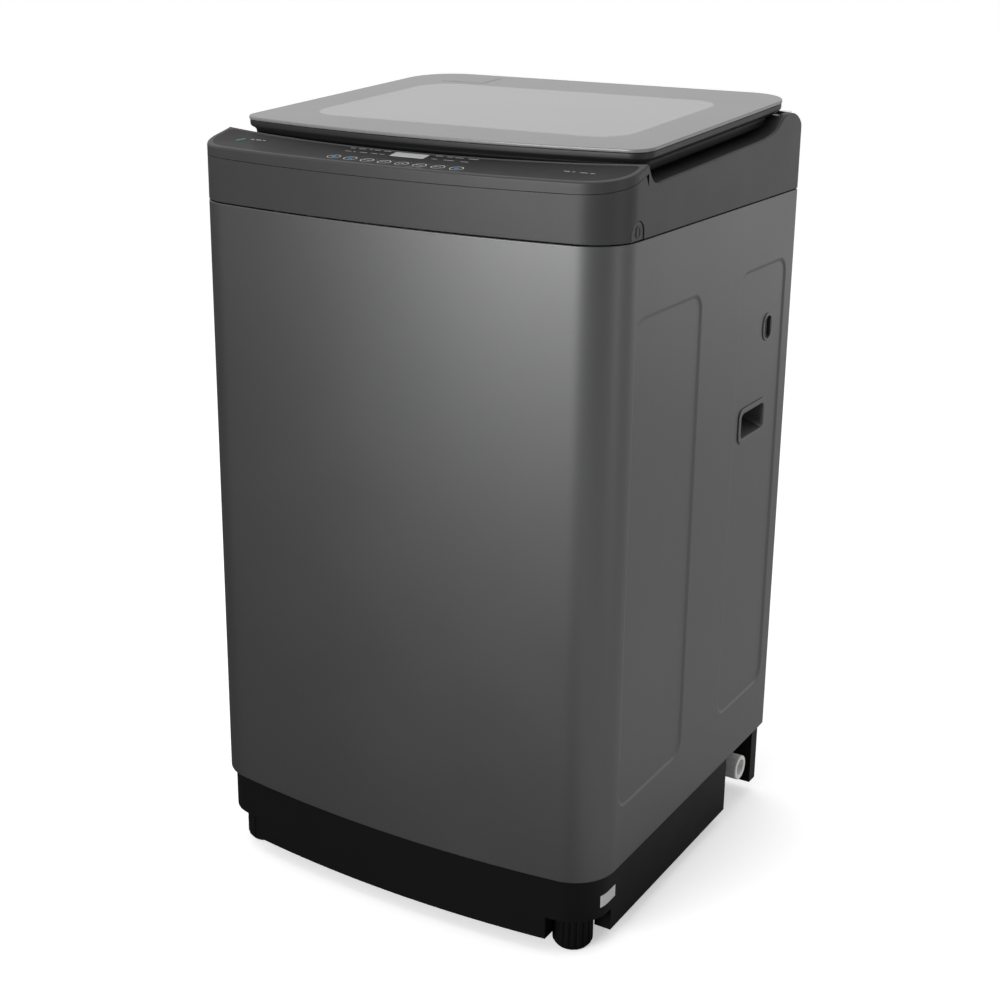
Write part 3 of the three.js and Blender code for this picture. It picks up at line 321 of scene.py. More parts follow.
def within(points, x, y):
    """Whether a point lies inside a closed polygon."""
    hit = False
    ax, ay = points[-1]
    for bx, by in points:
        if (ay > y) != (by > y) and x < (bx - ax) * (y - ay) / (by - ay) + ax:
            hit = not hit
        ax, ay = bx, by
    return hit


def eased(points):
    """A smooth curve through (position, height) points that never overshoots them."""
    spans = [b[0] - a[0] for a, b in zip(points, points[1:])]
    slopes = [(b[1] - a[1]) / span for a, b, span in zip(points, points[1:], spans)]
    tangents = [slopes[0]]
    for first, second in zip(slopes, slopes[1:]):
        tangents.append(0.0 if first * second <= 0 else 2 * first * second / (first + second))
    tangents.append(slopes[-1])

    def height(position):
        position = min(max(position, points[0][0]), points[-1][0])
        i = max(k for k in range(len(spans)) if points[k][0] <= position)
        t = (position - points[i][0]) / spans[i]
        low, high = points[i][1], points[i + 1][1]
        bend = spans[i] * (t**3 - 2 * t**2 + t) * tangents[i] + spans[i] * (t**3 - t**2) * tangents[i + 1]
        return low + (high - low) * t * t * (3 - 2 * t) + bend

    return height


def at_height(points, z):
    """A plan outline's points, all at one height."""
    return [(x, y, z) for x, y in points]


def circle(radius, z, count=144):
    """A level circle of points round the tub's axis."""
    angles = [2 * math.pi * i / count for i in range(count)]
    return [(radius * math.cos(a), TUB_Y + radius * math.sin(a), z) for a in angles]


def mirrored(side, a, b):
    """The range from a to b on the right side, or its mirror image on the left."""
    return sorted((side * a, side * b))


def on_side(points, x, side):
    """Points given as y and z, laid on one side of the machine and kept facing outwards."""
    ring = [(side * x, y, z) for y, z in points]
    return ring if side > 0 else list(reversed(ring))


def roll(radius, steps=5):
    """(inset, drop) steps of a rounded edge, from the side up to the top."""
    out = []
    for i in range(steps + 1):
        angle = math.pi / 2 * i / steps
        out.append((radius * (1 - math.cos(angle)), radius * (1 - math.sin(angle))))
    return out


# ----------------------------------------
# Mesh helpers
# ----------------------------------------


def fill(bm, paths, free, keep, lift, paint=None, flip=False):
    """Fills part of a plane with triangles that follow the paths, and lifts them into space."""
    flat, edges = [], []
    for path, closed in paths:
        first = len(flat)
        flat += [Vector(point) for point in path]
        edges += [(k, k + 1) for k in range(first, len(flat) - 1)]
        if closed:
            edges.append((len(flat) - 1, first))
    flat += [Vector(point) for point in free]
    points, _, triangles, *_ = delaunay_2d_cdt(flat, edges, [], 0, 1e-4)
    made = {}
    for triangle in triangles:
        corners = [points[k] for k in triangle]
        x, y = sum(c.x for c in corners) / 3, sum(c.y for c in corners) / 3
        if not keep(x, y):
            continue
        for k in triangle:
            if k not in made:
                made[k] = bm.verts.new(Vector(lift(points[k].x, points[k].y)) * MM)
        order = list(reversed(triangle)) if flip else list(triangle)
        face = bm.faces.new([made[k] for k in order])
        if paint:
            face.material_index = paint(x, y)


def loft(bm, rings, closed=True, loop=False, low_cap=False, high_cap=False, flip=False, paint=None):
    """Joins rings of points, each as long as the last, and caps the ends that are asked for.

    closed joins each ring's ends, and loop joins the last ring to the first.
    """
    rows = [[bm.verts.new(Vector(point) * MM) for point in ring] for ring in rings]
    count = len(rows[0])
    pairs = list(zip(rows, rows[1:])) + ([(rows[-1], rows[0])] if loop else [])
    for level, (low, high) in enumerate(pairs):
        for i in range(count if closed else count - 1):
            k = (i + 1) % count
            quad = [low[i], low[k], high[k], high[i]]
            face = bm.faces.new(list(reversed(quad)) if flip else quad)
            if paint:
                face.material_index = paint(level)
    if low_cap:
        bm.faces.new(rows[0] if flip else list(reversed(rows[0])))
    if high_cap:
        bm.faces.new(list(reversed(rows[-1])) if flip else rows[-1])
    return rows


def evaluated(obj):
    """Applies an object's modifiers."""
    graph = bpy.context.evaluated_depsgraph_get()
    mesh = bpy.data.meshes.new_from_object(obj.evaluated_get(graph))
    old = obj.data
    obj.modifiers.clear()
    obj.data = mesh
    bpy.data.meshes.remove(old)


def scratch(bm, name):
    """Turns a mesh in the making into an object, with its doubled points merged."""
    mesh = bpy.data.meshes.new(name)
    bmesh.ops.remove_doubles(bm, verts=bm.verts, dist=2e-6)
    bmesh.ops.delete(bm, geom=[v for v in bm.verts if not v.link_faces], context="VERTS")
    bm.to_mesh(mesh)
    bm.free()
    obj = bpy.data.objects.new(name, mesh)
    scene.collection.objects.link(obj)
    return obj


def combine(obj, operation, *tools):
    """Cuts the tools from an object or joins them to it, and removes them."""
    for tool in tools:
        step = obj.modifiers.new("combine", "BOOLEAN")
        step.operation = operation
        step.solver = "MANIFOLD"
        step.object = tool
        evaluated(obj)
        mesh = tool.data
        bpy.data.objects.remove(tool)
        bpy.data.meshes.remove(mesh)
    return obj


def thicken(obj, thickness):
    """Gives a sheet its thickness, on the side away from its normals."""
    step = obj.modifiers.new("thickness", "SOLIDIFY")
    step.thickness = thickness * MM
    step.offset = -1
    evaluated(obj)


def dress(obj, body, slot, nodes=(), materials=None, sharp=38, bevel=0.0):
    """Makes a finished piece of a mesh: its edges, finish, body and the CAD nodes it stands for."""
    if bevel:
        edge = obj.modifiers.new("edges", "BEVEL")
        edge.width = bevel * MM
        edge.segments = 2
        edge.limit_method = "ANGLE"
        edge.angle_limit = math.radians(40)
        evaluated(obj)
    obj.data.shade_smooth()
    obj.data.set_sharp_from_angle(angle=math.radians(sharp))
    step = obj.modifiers.new("normals", "WEIGHTED_NORMAL")
    step.keep_sharp = True
    finishes = [face.material_index for face in obj.data.polygons]
    obj.data.materials.clear()
    for name in materials or [slot]:
        obj.data.materials.append(MATERIALS[name])
    if len(obj.data.materials) > 1:
        obj.data.polygons.foreach_set("material_index", finishes)
    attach(obj, body)
    if nodes:
        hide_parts(*nodes)
    return obj


def piece(name, bm, body, slot, nodes=(), thickness=0.0, **looks):
    """A finished piece straight from a mesh in the making, as a thick sheet where it is asked for."""
    obj = scratch(bm, name)
    if thickness:
        thicken(obj, thickness)
    return dress(obj, body, slot, nodes, **looks)


def turned(bm, profile, centre, segments=72, axis="Z", loop=False, paint=None):
    """A body of revolution from (radius, height) points: heights run along the axis from the centre."""
    cx, cy, cz = centre
    rings = []
    for radius, height in profile:
        ring = []
        for i in range(segments):
            angle = 2 * math.pi * i / segments
            u, v = max(radius, 0.02) * math.cos(angle), max(radius, 0.02) * math.sin(angle)
            if axis == "Z":
                ring.append((cx + u, cy + v, cz + height))
            elif axis == "X":
                ring.append((cx + height, cy + u, cz + v))
            else:
                ring.append((cx + v, cy + height, cz + u))
        rings.append(ring)
    loft(bm, rings, loop=loop, low_cap=not loop, high_cap=not loop, paint=paint)


def softened(profile, radius=1.0, steps=3, loop=True):
    """Rounds the corners of a turned profile."""
    count = len(profile)
    out = []
    for i, point in enumerate(profile):
        here = Vector(point)
        if not loop and i in (0, count - 1):
            out.append(point)
            continue
        before, after = Vector(profile[i - 1]) - here, Vector(profile[(i + 1) % count]) - here
        reach = min(radius, before.length * 0.45, after.length * 0.45)
        start, end = here + before.normalized() * reach, here + after.normalized() * reach
        for k in range(steps + 1):
            bend = start.lerp(here, k / steps).lerp(here.lerp(end, k / steps), k / steps)
            out.append((bend.x, bend.y))
    return out


# ----------------------------------------
# Materials
# ----------------------------------------


class Finish:
    """A node material for moulded, painted or bare surfaces, in object space."""

    def __init__(self, name, colour, roughness, metallic=0.0, **direct):
        self.material = bpy.data.materials.new(name)
        self.material.use_nodes = True
        self.nodes = self.material.node_tree.nodes
        self.links = self.material.node_tree.links
        self.shader = self.nodes["Principled BSDF"]
        self.colour, self.roughness = colour, roughness
        self.shader.inputs["Base Color"].default_value = (*colour, 1)
        self.shader.inputs["Roughness"].default_value = roughness
        self.shader.inputs["Metallic"].default_value = metallic
        for socket, value in direct.items():
            self.shader.inputs[socket.replace("_", " ")].default_value = value
        self.place = self.nodes.new("ShaderNodeTexCoord").outputs["Object"]
        self.height = None

    def noise(self, scale, stretch=(1, 1, 1), detail=4.0):
        """A noise pattern from 0 to 1, which may be stretched."""
        mapping = self.nodes.new("ShaderNodeMapping")
        mapping.inputs["Scale"].default_value = stretch
        texture = self.nodes.new("ShaderNodeTexNoise")
        texture.inputs["Scale"].default_value = scale
        texture.inputs["Detail"].default_value = detail
        self.links.new(self.place, mapping.inputs["Vector"])
        self.links.new(mapping.outputs["Vector"], texture.inputs["Vector"])
        return texture.outputs["Fac"]

    def cells(self, scale):
        """Patches of random tone."""
        texture = self.nodes.new("ShaderNodeTexVoronoi")
        texture.inputs["Scale"].default_value = scale
        self.links.new(self.place, texture.inputs["Vector"])
        return texture.outputs["Color"]

    def vary_colour(self, factor, amount):
        """Blends the colour between a darker and a lighter shade of itself."""
        blend = self.nodes.new("ShaderNodeMix")
        blend.data_type = "RGBA"
        dark = [c * (1 - amount) for c in self.colour]
        light = [c * (1 + amount) for c in self.colour]
        blend.inputs["A"].default_value = (*dark, 1)
        blend.inputs["B"].default_value = (*light, 1)
        self.links.new(factor, blend.inputs["Factor"])
        self.links.new(blend.outputs["Result"], self.shader.inputs["Base Color"])

    def vary_roughness(self, factor, amount):
        """Lets the gloss wander by the amount either way."""
        spread = self.nodes.new("ShaderNodeMapRange")
        spread.inputs["To Min"].default_value = max(self.roughness - amount, 0.02)
        spread.inputs["To Max"].default_value = self.roughness + amount
        self.links.new(factor, spread.inputs["Value"])
        self.links.new(spread.outputs["Result"], self.shader.inputs["Roughness"])

    def bump(self, factor, strength):
        """Adds a relief on top of those already there."""
        node = self.nodes.new("ShaderNodeBump")
        node.inputs["Strength"].default_value = strength
        node.inputs["Distance"].default_value = 0.0002
        self.links.new(factor, node.inputs["Height"])
        if self.height:
            self.links.new(self.height, node.inputs["Normal"])
        self.height = node.outputs["Normal"]
        self.links.new(self.height, self.shader.inputs["Normal"])


def moulded(name, colour, roughness, grain, strength, specular):
    """Moulded plastic or print: a fine grain, with slow changes of tone and gloss."""
    finish = Finish(name, colour, roughness, Specular_IOR_Level=specular)
    finish.vary_colour(finish.noise(9), 0.05)
    finish.vary_roughness(finish.noise(24, detail=6), 0.04)
    finish.bump(finish.noise(grain, detail=3), strength)
    return finish.material


def lacquered_steel():
    """Dark grey metallic lacquer on sheet steel, with fine flakes and a faint orange peel."""
    finish = Finish("cabinet_paint", (0.115, 0.1155, 0.117), 0.46, 0.85, Coat_Weight=0.25, Coat_Roughness=0.3)
    finish.vary_colour(finish.noise(2600, detail=2), 0.22)
    finish.vary_roughness(finish.noise(7, detail=3), 0.03)
    finish.bump(finish.noise(420, detail=2), 0.035)
    finish.bump(finish.noise(2600, detail=1), 0.05)
    return finish.material


def galvanised():
    """Zinc coated sheet with its spangle."""
    finish = Finish("rear_zinc", (0.36, 0.37, 0.38), 0.42, 0.85)
    finish.vary_colour(finish.cells(70), 0.16)
    finish.vary_roughness(finish.noise(60), 0.1)
    finish.bump(finish.noise(300), 0.05)
    return finish.material


def brushed_steel():
    """Stainless steel, brushed round the basket."""
    finish = Finish("stainless", (0.56, 0.57, 0.58), 0.26, 1.0)
    finish.vary_colour(finish.noise(60, stretch=(1, 1, 40)), 0.08)
    finish.vary_roughness(finish.noise(50, stretch=(1, 1, 60)), 0.08)
    finish.bump(finish.noise(50, stretch=(1, 1, 60)), 0.06)
    return finish.material


def cast_metal(name, colour, roughness):
    """Cast or zinc coated metal with a coarse grain."""
    finish = Finish(name, colour, roughness, 0.9)
    finish.vary_colour(finish.noise(40, detail=8), 0.12)
    finish.vary_roughness(finish.noise(90), 0.1)
    finish.bump(finish.noise(500, detail=6), 0.25)
    return finish.material


def pane(name, colour, roughness, alpha=1.0, coat=0.35):
    """Glass with a printed back: glossy, with a faint unevenness."""
    finish = Finish(name, colour, roughness, Coat_Weight=coat, Coat_Roughness=0.06, Alpha=alpha)
    finish.vary_colour(finish.noise(5, detail=3), 0.03)
    finish.vary_roughness(finish.noise(11), 0.03)
    return finish.material


def translucent_white():
    """Milky plastic that lets a little light in."""
    finish = Finish("white_plastic", (0.86, 0.87, 0.86), 0.34, Subsurface_Weight=0.25, Subsurface_Scale=0.004)
    finish.vary_colour(finish.noise(30), 0.04)
    finish.vary_roughness(finish.noise(40), 0.05)
    finish.bump(finish.noise(700), 0.05)
    return finish.material


# Moulded plastics and prints, as colour, roughness, grain, depth of grain and specular level
MOULDED = {
    "base_plastic": ((0.004, 0.004, 0.0042), 0.5, 1800, 0.2, 0.15),
    "rubber": ((0.015, 0.015, 0.015), 0.75, 900, 0.3, 0.5),
    "cover_plastic": ((0.034, 0.034, 0.0345), 0.45, 2200, 0.06, 0.35),
    "panel_film": ((0.004, 0.004, 0.0043), 0.42, 3000, 0.05, 0.13),
    "key_caps": ((0.004, 0.004, 0.0043), 0.42, 3000, 0.05, 0.13),
    "print_grey": ((0.66, 0.67, 0.68), 0.5, 4000, 0.02, 0.5),
    "print_faint": ((0.27, 0.275, 0.28), 0.5, 4000, 0.02, 0.5),
    "print_blue": ((0.05, 0.28, 0.62), 0.5, 4000, 0.02, 0.5),
    "print_green": ((0.03, 0.32, 0.1), 0.5, 4000, 0.02, 0.5),
    "lid_band": ((0.018, 0.018, 0.0184), 0.45, 2200, 0.06, 0.35),
    # lid_liner's near-black also colours the lid's skirt, where it is painted shade for the shadow under the
    # band's overhang
    "lid_liner": ((0.006, 0.006, 0.0063), 0.5, 2000, 0.12, 0.15),
    "label": ((0.66, 0.66, 0.65), 0.45, 2500, 0.03, 0.5),
    "circuit_board": ((0.02, 0.09, 0.045), 0.4, 700, 0.2, 0.5),
    "grey_plastic": ((0.26, 0.27, 0.28), 0.42, 1400, 0.12, 0.5),
}
MATERIALS = {name: moulded(name, *values) for name, values in MOULDED.items()} | {
    "cabinet_paint": lacquered_steel(),
    "rear_zinc": galvanised(),
    "display_glass": pane("display_glass", (0.5, 0.51, 0.52), 0.22),
    "lid_glass": pane("lid_glass", (0.19, 0.19, 0.192), 0.34, coat=0.3),
    "lid_window": pane("lid_window", (0.3, 0.3, 0.303), 0.2, alpha=0.9, coat=0.6),
    "white_plastic": translucent_white(),
    "stainless": brushed_steel(),
    "zinc_steel": cast_metal("zinc_steel", (0.42, 0.43, 0.44), 0.36),
    "cast_aluminium": cast_metal("cast_aluminium", (0.46, 0.47, 0.48), 0.5),
}


# ----------------------------------------
# Camera, light and floor
# ----------------------------------------


def add_camera():
    """A camera to the right of the machine, a little above it, looking down on its front corner."""
    data = bpy.data.cameras.new("camera")
    data.sensor_width = 36
    data.lens = 59.67
    data.shift_y = -0.06
    data.clip_end = 50
    right = Vector((0.85678, 0.51554, 0.01223)).normalized()
    back = Vector((0.48929, -0.82018, 0.29648)).normalized()
    up = back.cross(right)
    matrix = Matrix((right, up, back)).transposed().to_4x4()
    matrix.translation = (1.0329, -1.7400, 1.1622)
    camera = bpy.data.objects.new("camera", data)
    camera.matrix_world = matrix
    scene.collection.objects.link(camera)
    scene.camera = camera


def add_softbox(name, place, aim, size, power):
    """A soft rectangular light that points from its place to its aim."""
    data = bpy.data.lights.new(name, "AREA")
    data.shape = "RECTANGLE"
    data.size, data.size_y = size
    data.energy = power
    data.spread = math.radians(170)
    light = bpy.data.objects.new(name, data)
    light.location = place
    light.visible_camera = False
    light.rotation_euler = (Vector(aim) - Vector(place)).to_track_quat("-Z", "Y").to_euler()
    scene.collection.objects.link(light)


def tone_along(nodes, links, source, direction, levels, kind="LINEAR"):
    """A value that changes along a direction: levels are its places and its values at both ends."""
    across = nodes.new("ShaderNodeVectorMath")
    across.operation = "DOT_PRODUCT"
    across.inputs[1].default_value = direction
    links.new(source, across.inputs[0])
    tone = nodes.new("ShaderNodeMapRange")
    tone.interpolation_type = kind
    for socket, value in zip(("From Min", "From Max", "To Min", "To Max"), levels):
        tone.inputs[socket].default_value = value
    links.new(across.outputs["Value"], tone.inputs["Value"])
    return tone.outputs["Result"]


def add_studio():
    """White surroundings for the view, a soft sky that is dim to the front right, and softboxes."""
    world = bpy.data.worlds.new("studio")
    world.use_nodes = True
    nodes, links = world.node_tree.nodes, world.node_tree.links
    seen, lit = nodes["Background"], nodes.new("ShaderNodeBackground")
    seen.inputs["Color"].default_value = (1, 1, 1, 1)
    seen.inputs["Strength"].default_value = 1.0
    around = nodes.new("ShaderNodeTexCoord").outputs["Generated"]
    dimming = (0.1, 0.95, SKY, SKY_SHADE)
    sky = tone_along(nodes, links, around, (0.5, -0.87, 0), dimming, "SMOOTHSTEP")
    links.new(sky, lit.inputs["Strength"])
    path, blend = nodes.new("ShaderNodeLightPath"), nodes.new("ShaderNodeMixShader")
    links.new(path.outputs["Is Camera Ray"], blend.inputs["Fac"])
    links.new(lit.outputs["Background"], blend.inputs[1])
    links.new(seen.outputs["Background"], blend.inputs[2])
    links.new(blend.outputs["Shader"], nodes["World Output"].inputs["Surface"])
    scene.world = world
    scene.view_settings.view_transform = "Standard"
    add_softbox("front_light", (-0.35, -3.3, 1.15), (0, -0.2, 0.85), (1.9, 1.2), 88)
    add_softbox("top_light", (-0.4, 0.2, 3.4), (0, 0, 0.9), (2.6, 2.6), 16)
    add_softbox("side_light", (1.75, 2.7, 0.5), (0.28, 0.1, 0.2), (1.5, 1.0), 3.3)
    add_softbox("corner_light", (2.7, -0.1, 0.6), (0.25, -0.22, 0.5), (0.3, 1.1), 3)


def add_floor():
    """A plain pale floor, which reflections and bounced light find dark on the left and paler to the right.

    It acts like dark and white cards laid round the machine in a studio.
    """
    bm = bmesh.new()
    loft(bm, [[(-30000, y, -0.4), (30000, y, -0.4)] for y in (-30000, 30000)], closed=False)
    floor = scratch(bm, "floor")
    pale = (0.93, 0.93, 0.93)
    finish = Finish("floor", pale, 0.95, Specular_IOR_Level=0.0)
    nodes, links, shader = finish.nodes, finish.links, finish.shader
    camera_ray = nodes.new("ShaderNodeLightPath").outputs["Is Camera Ray"]
    tone = tone_along(nodes, links, finish.place, (0.95, 0.3, 0), (0.15, 0.4, 0.045, 0.62))
    blend = nodes.new("ShaderNodeMix")
    blend.data_type = "RGBA"
    blend.inputs["B"].default_value = (*pale, 1)
    links.new(tone, blend.inputs["A"])
    links.new(camera_ray, blend.inputs["Factor"])
    links.new(blend.outputs["Result"], shader.inputs["Base Color"])
    glow = nodes.new("ShaderNodeMath")
    glow.operation = "MULTIPLY"
    glow.inputs[1].default_value = FLOOR_GLOW
    links.new(camera_ray, glow.inputs[0])
    shader.inputs["Emission Color"].default_value = (1, 1, 1, 1)
    links.new(glow.outputs["Value"], shader.inputs["Emission Strength"])
    floor.data.materials.append(finish.material)


# ----------------------------------------
# Cabinet
# ----------------------------------------


def side_loops(outline, side):
    """The edges of a side's fields and holes, as two lists of loops along the outline."""
    def along(shape, grow, steps):
        loop = spread(rounded(shape, grow, steps).ring(), 9)
        return [(outline.length_at(side * HALF_WIDTH, y), z) for y, z in loop]

    ramps = [along(field, -FIELD_RAMP * k / 6, 10) for field in FIELDS for k in range(7)]
    holes = [along(GRIP, -2, 8), along(SLOT, -2, 10)]
    return ramps, holes


def field_depth(y, z):
    """How deep the side is pressed in at a place."""
    depths = [FIELD_DEPTH * smoothstep(inside_rounded(field, y, z) / FIELD_RAMP) for field in FIELDS]
    return max(depths)


def cabinet_skin():
    """Bent steel wrap with rolled edges, pressed fields and holes in its sides, and returns at the back."""
    outline = bowed(CABINET)
    ends = (RETURN_REACH, outline.lengths[-1] - RETURN_REACH)
    between = [i for i, s in enumerate(outline.lengths) if ends[0] + 1 < s < ends[1] - 1]
    hem_radius = 1.3
    hem = roll(hem_radius, 4)
    bm = bmesh.new()

    def strip(levels):
        rings = []
        for inset, z in levels:
            ring = outline.ring(inset)
            line = [outline.at(ends[0], inset)] + [ring[i] for i in between] + [outline.at(ends[1], inset)]
            rings.append(at_height(line, z))
        loft(bm, rings, closed=False)

    low, high = STEEL_BOTTOM + hem_radius, STEEL_TOP - hem_radius
    strip([(inset, STEEL_BOTTOM + drop) for inset, drop in reversed(hem)])
    strip([(inset, STEEL_TOP - drop) for inset, drop in hem])

    stations = [ends[0]] + [outline.lengths[i] for i in between] + [ends[1]]
    paths = [([(s, low) for s in stations], False), ([(s, high) for s in stations], False)]
    paths += [([(s, low), (s, high)], False) for s in stations]
    holes = []
    for side in (-1, 1):
        ramps, gaps = side_loops(outline, side)
        paths += [(loop, True) for loop in ramps + gaps]
        holes += gaps

    def keep(s, z):
        return not any(within(hole, s, z) for hole in holes)

    def lift(s, z):
        x, y = outline.at(s)
        on_flat_side = abs(x) > HALF_WIDTH - 0.01
        x, y = outline.at(s, field_depth(y, z) if on_flat_side else 0.0)
        return x, y, z

    fill(bm, paths, [], keep, lift)
    piece("cabinet_skin", bm, "root", "cabinet_paint", ["cabinet_wrap"], thickness=SHEET, sharp=50)


def side_ring(shape, grow, x, side, steps=8):
    """A rounded rectangle on one side of the machine."""
    return on_side(rounded(shape, grow, steps).ring(), x, side)


def side_grips():
    """A cup behind each grip hole, with a flange, a deep top and a sloping floor."""
    face = HALF_WIDTH - FIELD_DEPTH
    y, z, half_width, half_height, _ = GRIP
    mouth = (y, z, half_width - 7.5, half_height - 7, 7)
    bottom = (y, z + 4, half_width - 12, half_height - 13.5, 5)
    lip = [(0, 0), (0.6, 0.2), (1.1, 0.7), (1.4, 1.5)]
    for side, name in SIDES:
        bm = bmesh.new()
        rings = [side_ring(GRIP, -inset, face + 1.7 - drop, side) for inset, drop in roll(1.1, 4)]
        rings += [side_ring(mouth, 1.4 - inset, face + 1.7 - drop, side) for inset, drop in lip]
        for k in range(1, 9):
            share = k / 8
            shape = [mix(a, b, share) for a, b in zip(mouth, bottom)]
            rings.append(side_ring(shape, 0, face + 0.2 - share * 30, side))
        rings.append(side_ring(bottom, -2, face - 31, side))
        loft(bm, rings, high_cap=True)
        piece(f"grip_cup_{name}", bm, "root", "cabinet_paint", [f"side_handle_{name}"], thickness=1.0)


def side_slots():
    """An oval grommet round each side slot."""
    face = HALF_WIDTH - FIELD_DEPTH
    bore = (SLOT[0] + 2, SLOT[1], 6.5, 13.5, 6.4)
    for side, name in SIDES:
        bm = bmesh.new()
        rings = [side_ring(SLOT, -inset, face + 1.5 - drop, side, 10) for inset, drop in roll(1.1, 4)]
        rings.append(side_ring(SLOT, -3, face + 1.5, side, 10))
        rings += [side_ring(bore, 1.2 - inset, face + 0.9 - drop, side, 10) for inset, drop in roll(1.2, 4)]
        rings.append(side_ring(bore, 0, face - 8, side, 10))
        loft(bm, rings)
        piece(f"slot_grommet_{name}", bm, "root", "cabinet_paint", [f"slot_rim_{name}"], thickness=1.0)


def rear_sheet():
    """Zinc rear panel with a raised field, vent slots and the cord's hole."""
    low, high = node_box("rear_panel")
    face = BACK - SHEET - 0.3
    plate = (0, (low[2] + high[2]) / 2, high[0], (high[2] - low[2]) / 2, 4)
    gland = node_middle("cord_gland")
    hole = (gland[0], gland[2], 11, 11, 10.9)
    gaps = [hole] + VENTS
    slope = 6
    paths = [(rounded(plate, 0, 4).ring(), True)]
    paths += [(rounded(REAR_FIELD, -slope * k / 4, 8).ring(), True) for k in range(5)]
    paths += [(rounded(vent, 0, 6).ring(), True) for vent in VENTS]
    paths.append((rounded(hole, 0, 8).ring(), True))

    def keep(x, z):
        return inside_rounded(plate, x, z) > 0 and all(inside_rounded(gap, x, z) < 0 for gap in gaps)

    def lift(x, z):
        raised = 0.95 * smoothstep(inside_rounded(REAR_FIELD, x, z) / slope)
        return x, face + raised, z

    bm = bmesh.new()
    fill(bm, paths, [], keep, lift, flip=True)
    piece("rear_sheet", bm, "root", "rear_zinc", ["rear_panel"], thickness=SHEET)


def rear_screws():
    """Domed screws with a small socket, down both edges of the rear panel."""
    bm = bmesh.new()
    head = [(0, 0), (4.6, 0), (4.6, 0.8), (3.2, 2.2), (1.2, 2.3), (1.0, 1.4), (0, 1.4)]
    for x in (-SCREW_X, SCREW_X):
        for z in SCREW_HEIGHTS:
            turned(bm, softened(head, 0.3, 2, False), (x, BACK, z), 20, "Y")
    piece("rear_screws", bm, "root", "zinc_steel")


def cord_gland():
    """Rubber grommet that the mains cord would leave by."""
    low, high = node_box("cord_gland")
    x, _, z = node_middle("cord_gland")
    depth = high[1] - low[1]
    bm = bmesh.new()
    profile = [(4, 0), (10.5, 0), (10.5, depth - 5.4), (15, depth - 5.4), (15, depth), (9, depth)]
    profile += [(6.5, depth - 1.5), (4, depth - 2)]
    turned(bm, softened(profile, 0.8), (x, low[1], z), 40, "Y", loop=True)
    piece("cord_grommet", bm, "root", "rubber", ["cord_gland"])


# ----------------------------------------
# Base and feet
# ----------------------------------------


def prism(points, z0, z1, name="tool"):
    """An upright solid over a plan outline."""
    bm = bmesh.new()
    loft(bm, [at_height(points, z) for z in (z0, z1)], low_cap=True, high_cap=True)
    return scratch(bm, name)


def block(x0, x1, y0, y1, z0, z1):
    """A solid with six flat faces, for cutting or joining."""
    return prism([(x0, y0), (x1, y0), (x1, y1), (x0, y1)], z0, z1)


def base_moulding():
    """Black base: a wall with a deck, a pocket over each front foot, rear legs and the drain notch."""
    wall, deck = 4, 4
    top = STEEL_BOTTOM - 0.3
    below = BASE_BOTTOM - 5
    beyond = HALF_WIDTH + 5
    outline = bowed(CABINET, BASE_INSET)
    outer, trim, room_wall = outline.ring(), outline.ring(1), outline.ring(wall)
    pocket_top, front_x, side_y, inner_x, inner_y = 49, 216.5, -196, 202, -184
    notch_x, notch_front, notch_back, notch_top = 243, 138, 226, 97
    boss_inner, boss_outer, boss_front = 114, 166, 200
    leg_width, rib_width = 60, 4
    tub_opening = (0, TUB_Y, 222, 205, 60)
    foot = node_middle("front_foot_right")

    def trimmed(outline_points, height, *sizes):
        """A block cut off where it would pass the moulding's outline."""
        return combine(block(*sizes), "INTERSECT", prism(outline_points, 0, height))

    shell = prism(outer, BASE_BOTTOM, top, "base_moulding")
    combine(shell, "DIFFERENCE", prism(room_wall, below, top - deck))
    combine(shell, "DIFFERENCE", prism(rounded(tub_opening).points, below, top + 20))
    for side in (-1, 1):
        reach = mirrored(side, inner_x - 3, HALF_WIDTH)
        tower = trimmed(trim, 200, *reach, -250, inner_y + 3, BASE_BOTTOM, top - 1)
        reach = mirrored(side, HALF_WIDTH - leg_width, HALF_WIDTH)
        leg = trimmed(trim, 200, *reach, notch_back, BACK, BASE_BOTTOM, top - 1)
        reach = mirrored(side, boss_inner, boss_outer)
        boss = trimmed(trim, 200, *reach, boss_front, BACK, BASE_BOTTOM, top - 1)
        combine(shell, "UNION", tower, leg, boss)
        reach = mirrored(side, inner_x, HALF_WIDTH)
        room = trimmed(room_wall, 90, *reach, FRONT, inner_y, below, pocket_top)
        opening = block(*mirrored(side, front_x, beyond), FRONT, side_y, below, pocket_top)
        stem = prism(rounded((side * foot[0], foot[1], 8.6, 8.6, 8.5)).points, 30, 130)
        combine(shell, "DIFFERENCE", room, opening, stem)
        reach = mirrored(side, 252, HALF_WIDTH)
        side_rib = trimmed(trim, 90, *reach, side_y, inner_y + 2, BASE_BOTTOM, pocket_top + 1)
        reach = mirrored(side, front_x - rib_width, front_x)
        front_rib = trimmed(trim, 90, *reach, FRONT, -234, BASE_BOTTOM, pocket_top + 1)
        combine(shell, "UNION", side_rib, front_rib)
    combine(shell, "DIFFERENCE", block(notch_x, beyond, notch_front, notch_back, below, notch_top))
    dress(shell, "root", "base_plastic", ["base_frame"], bevel=0.7)


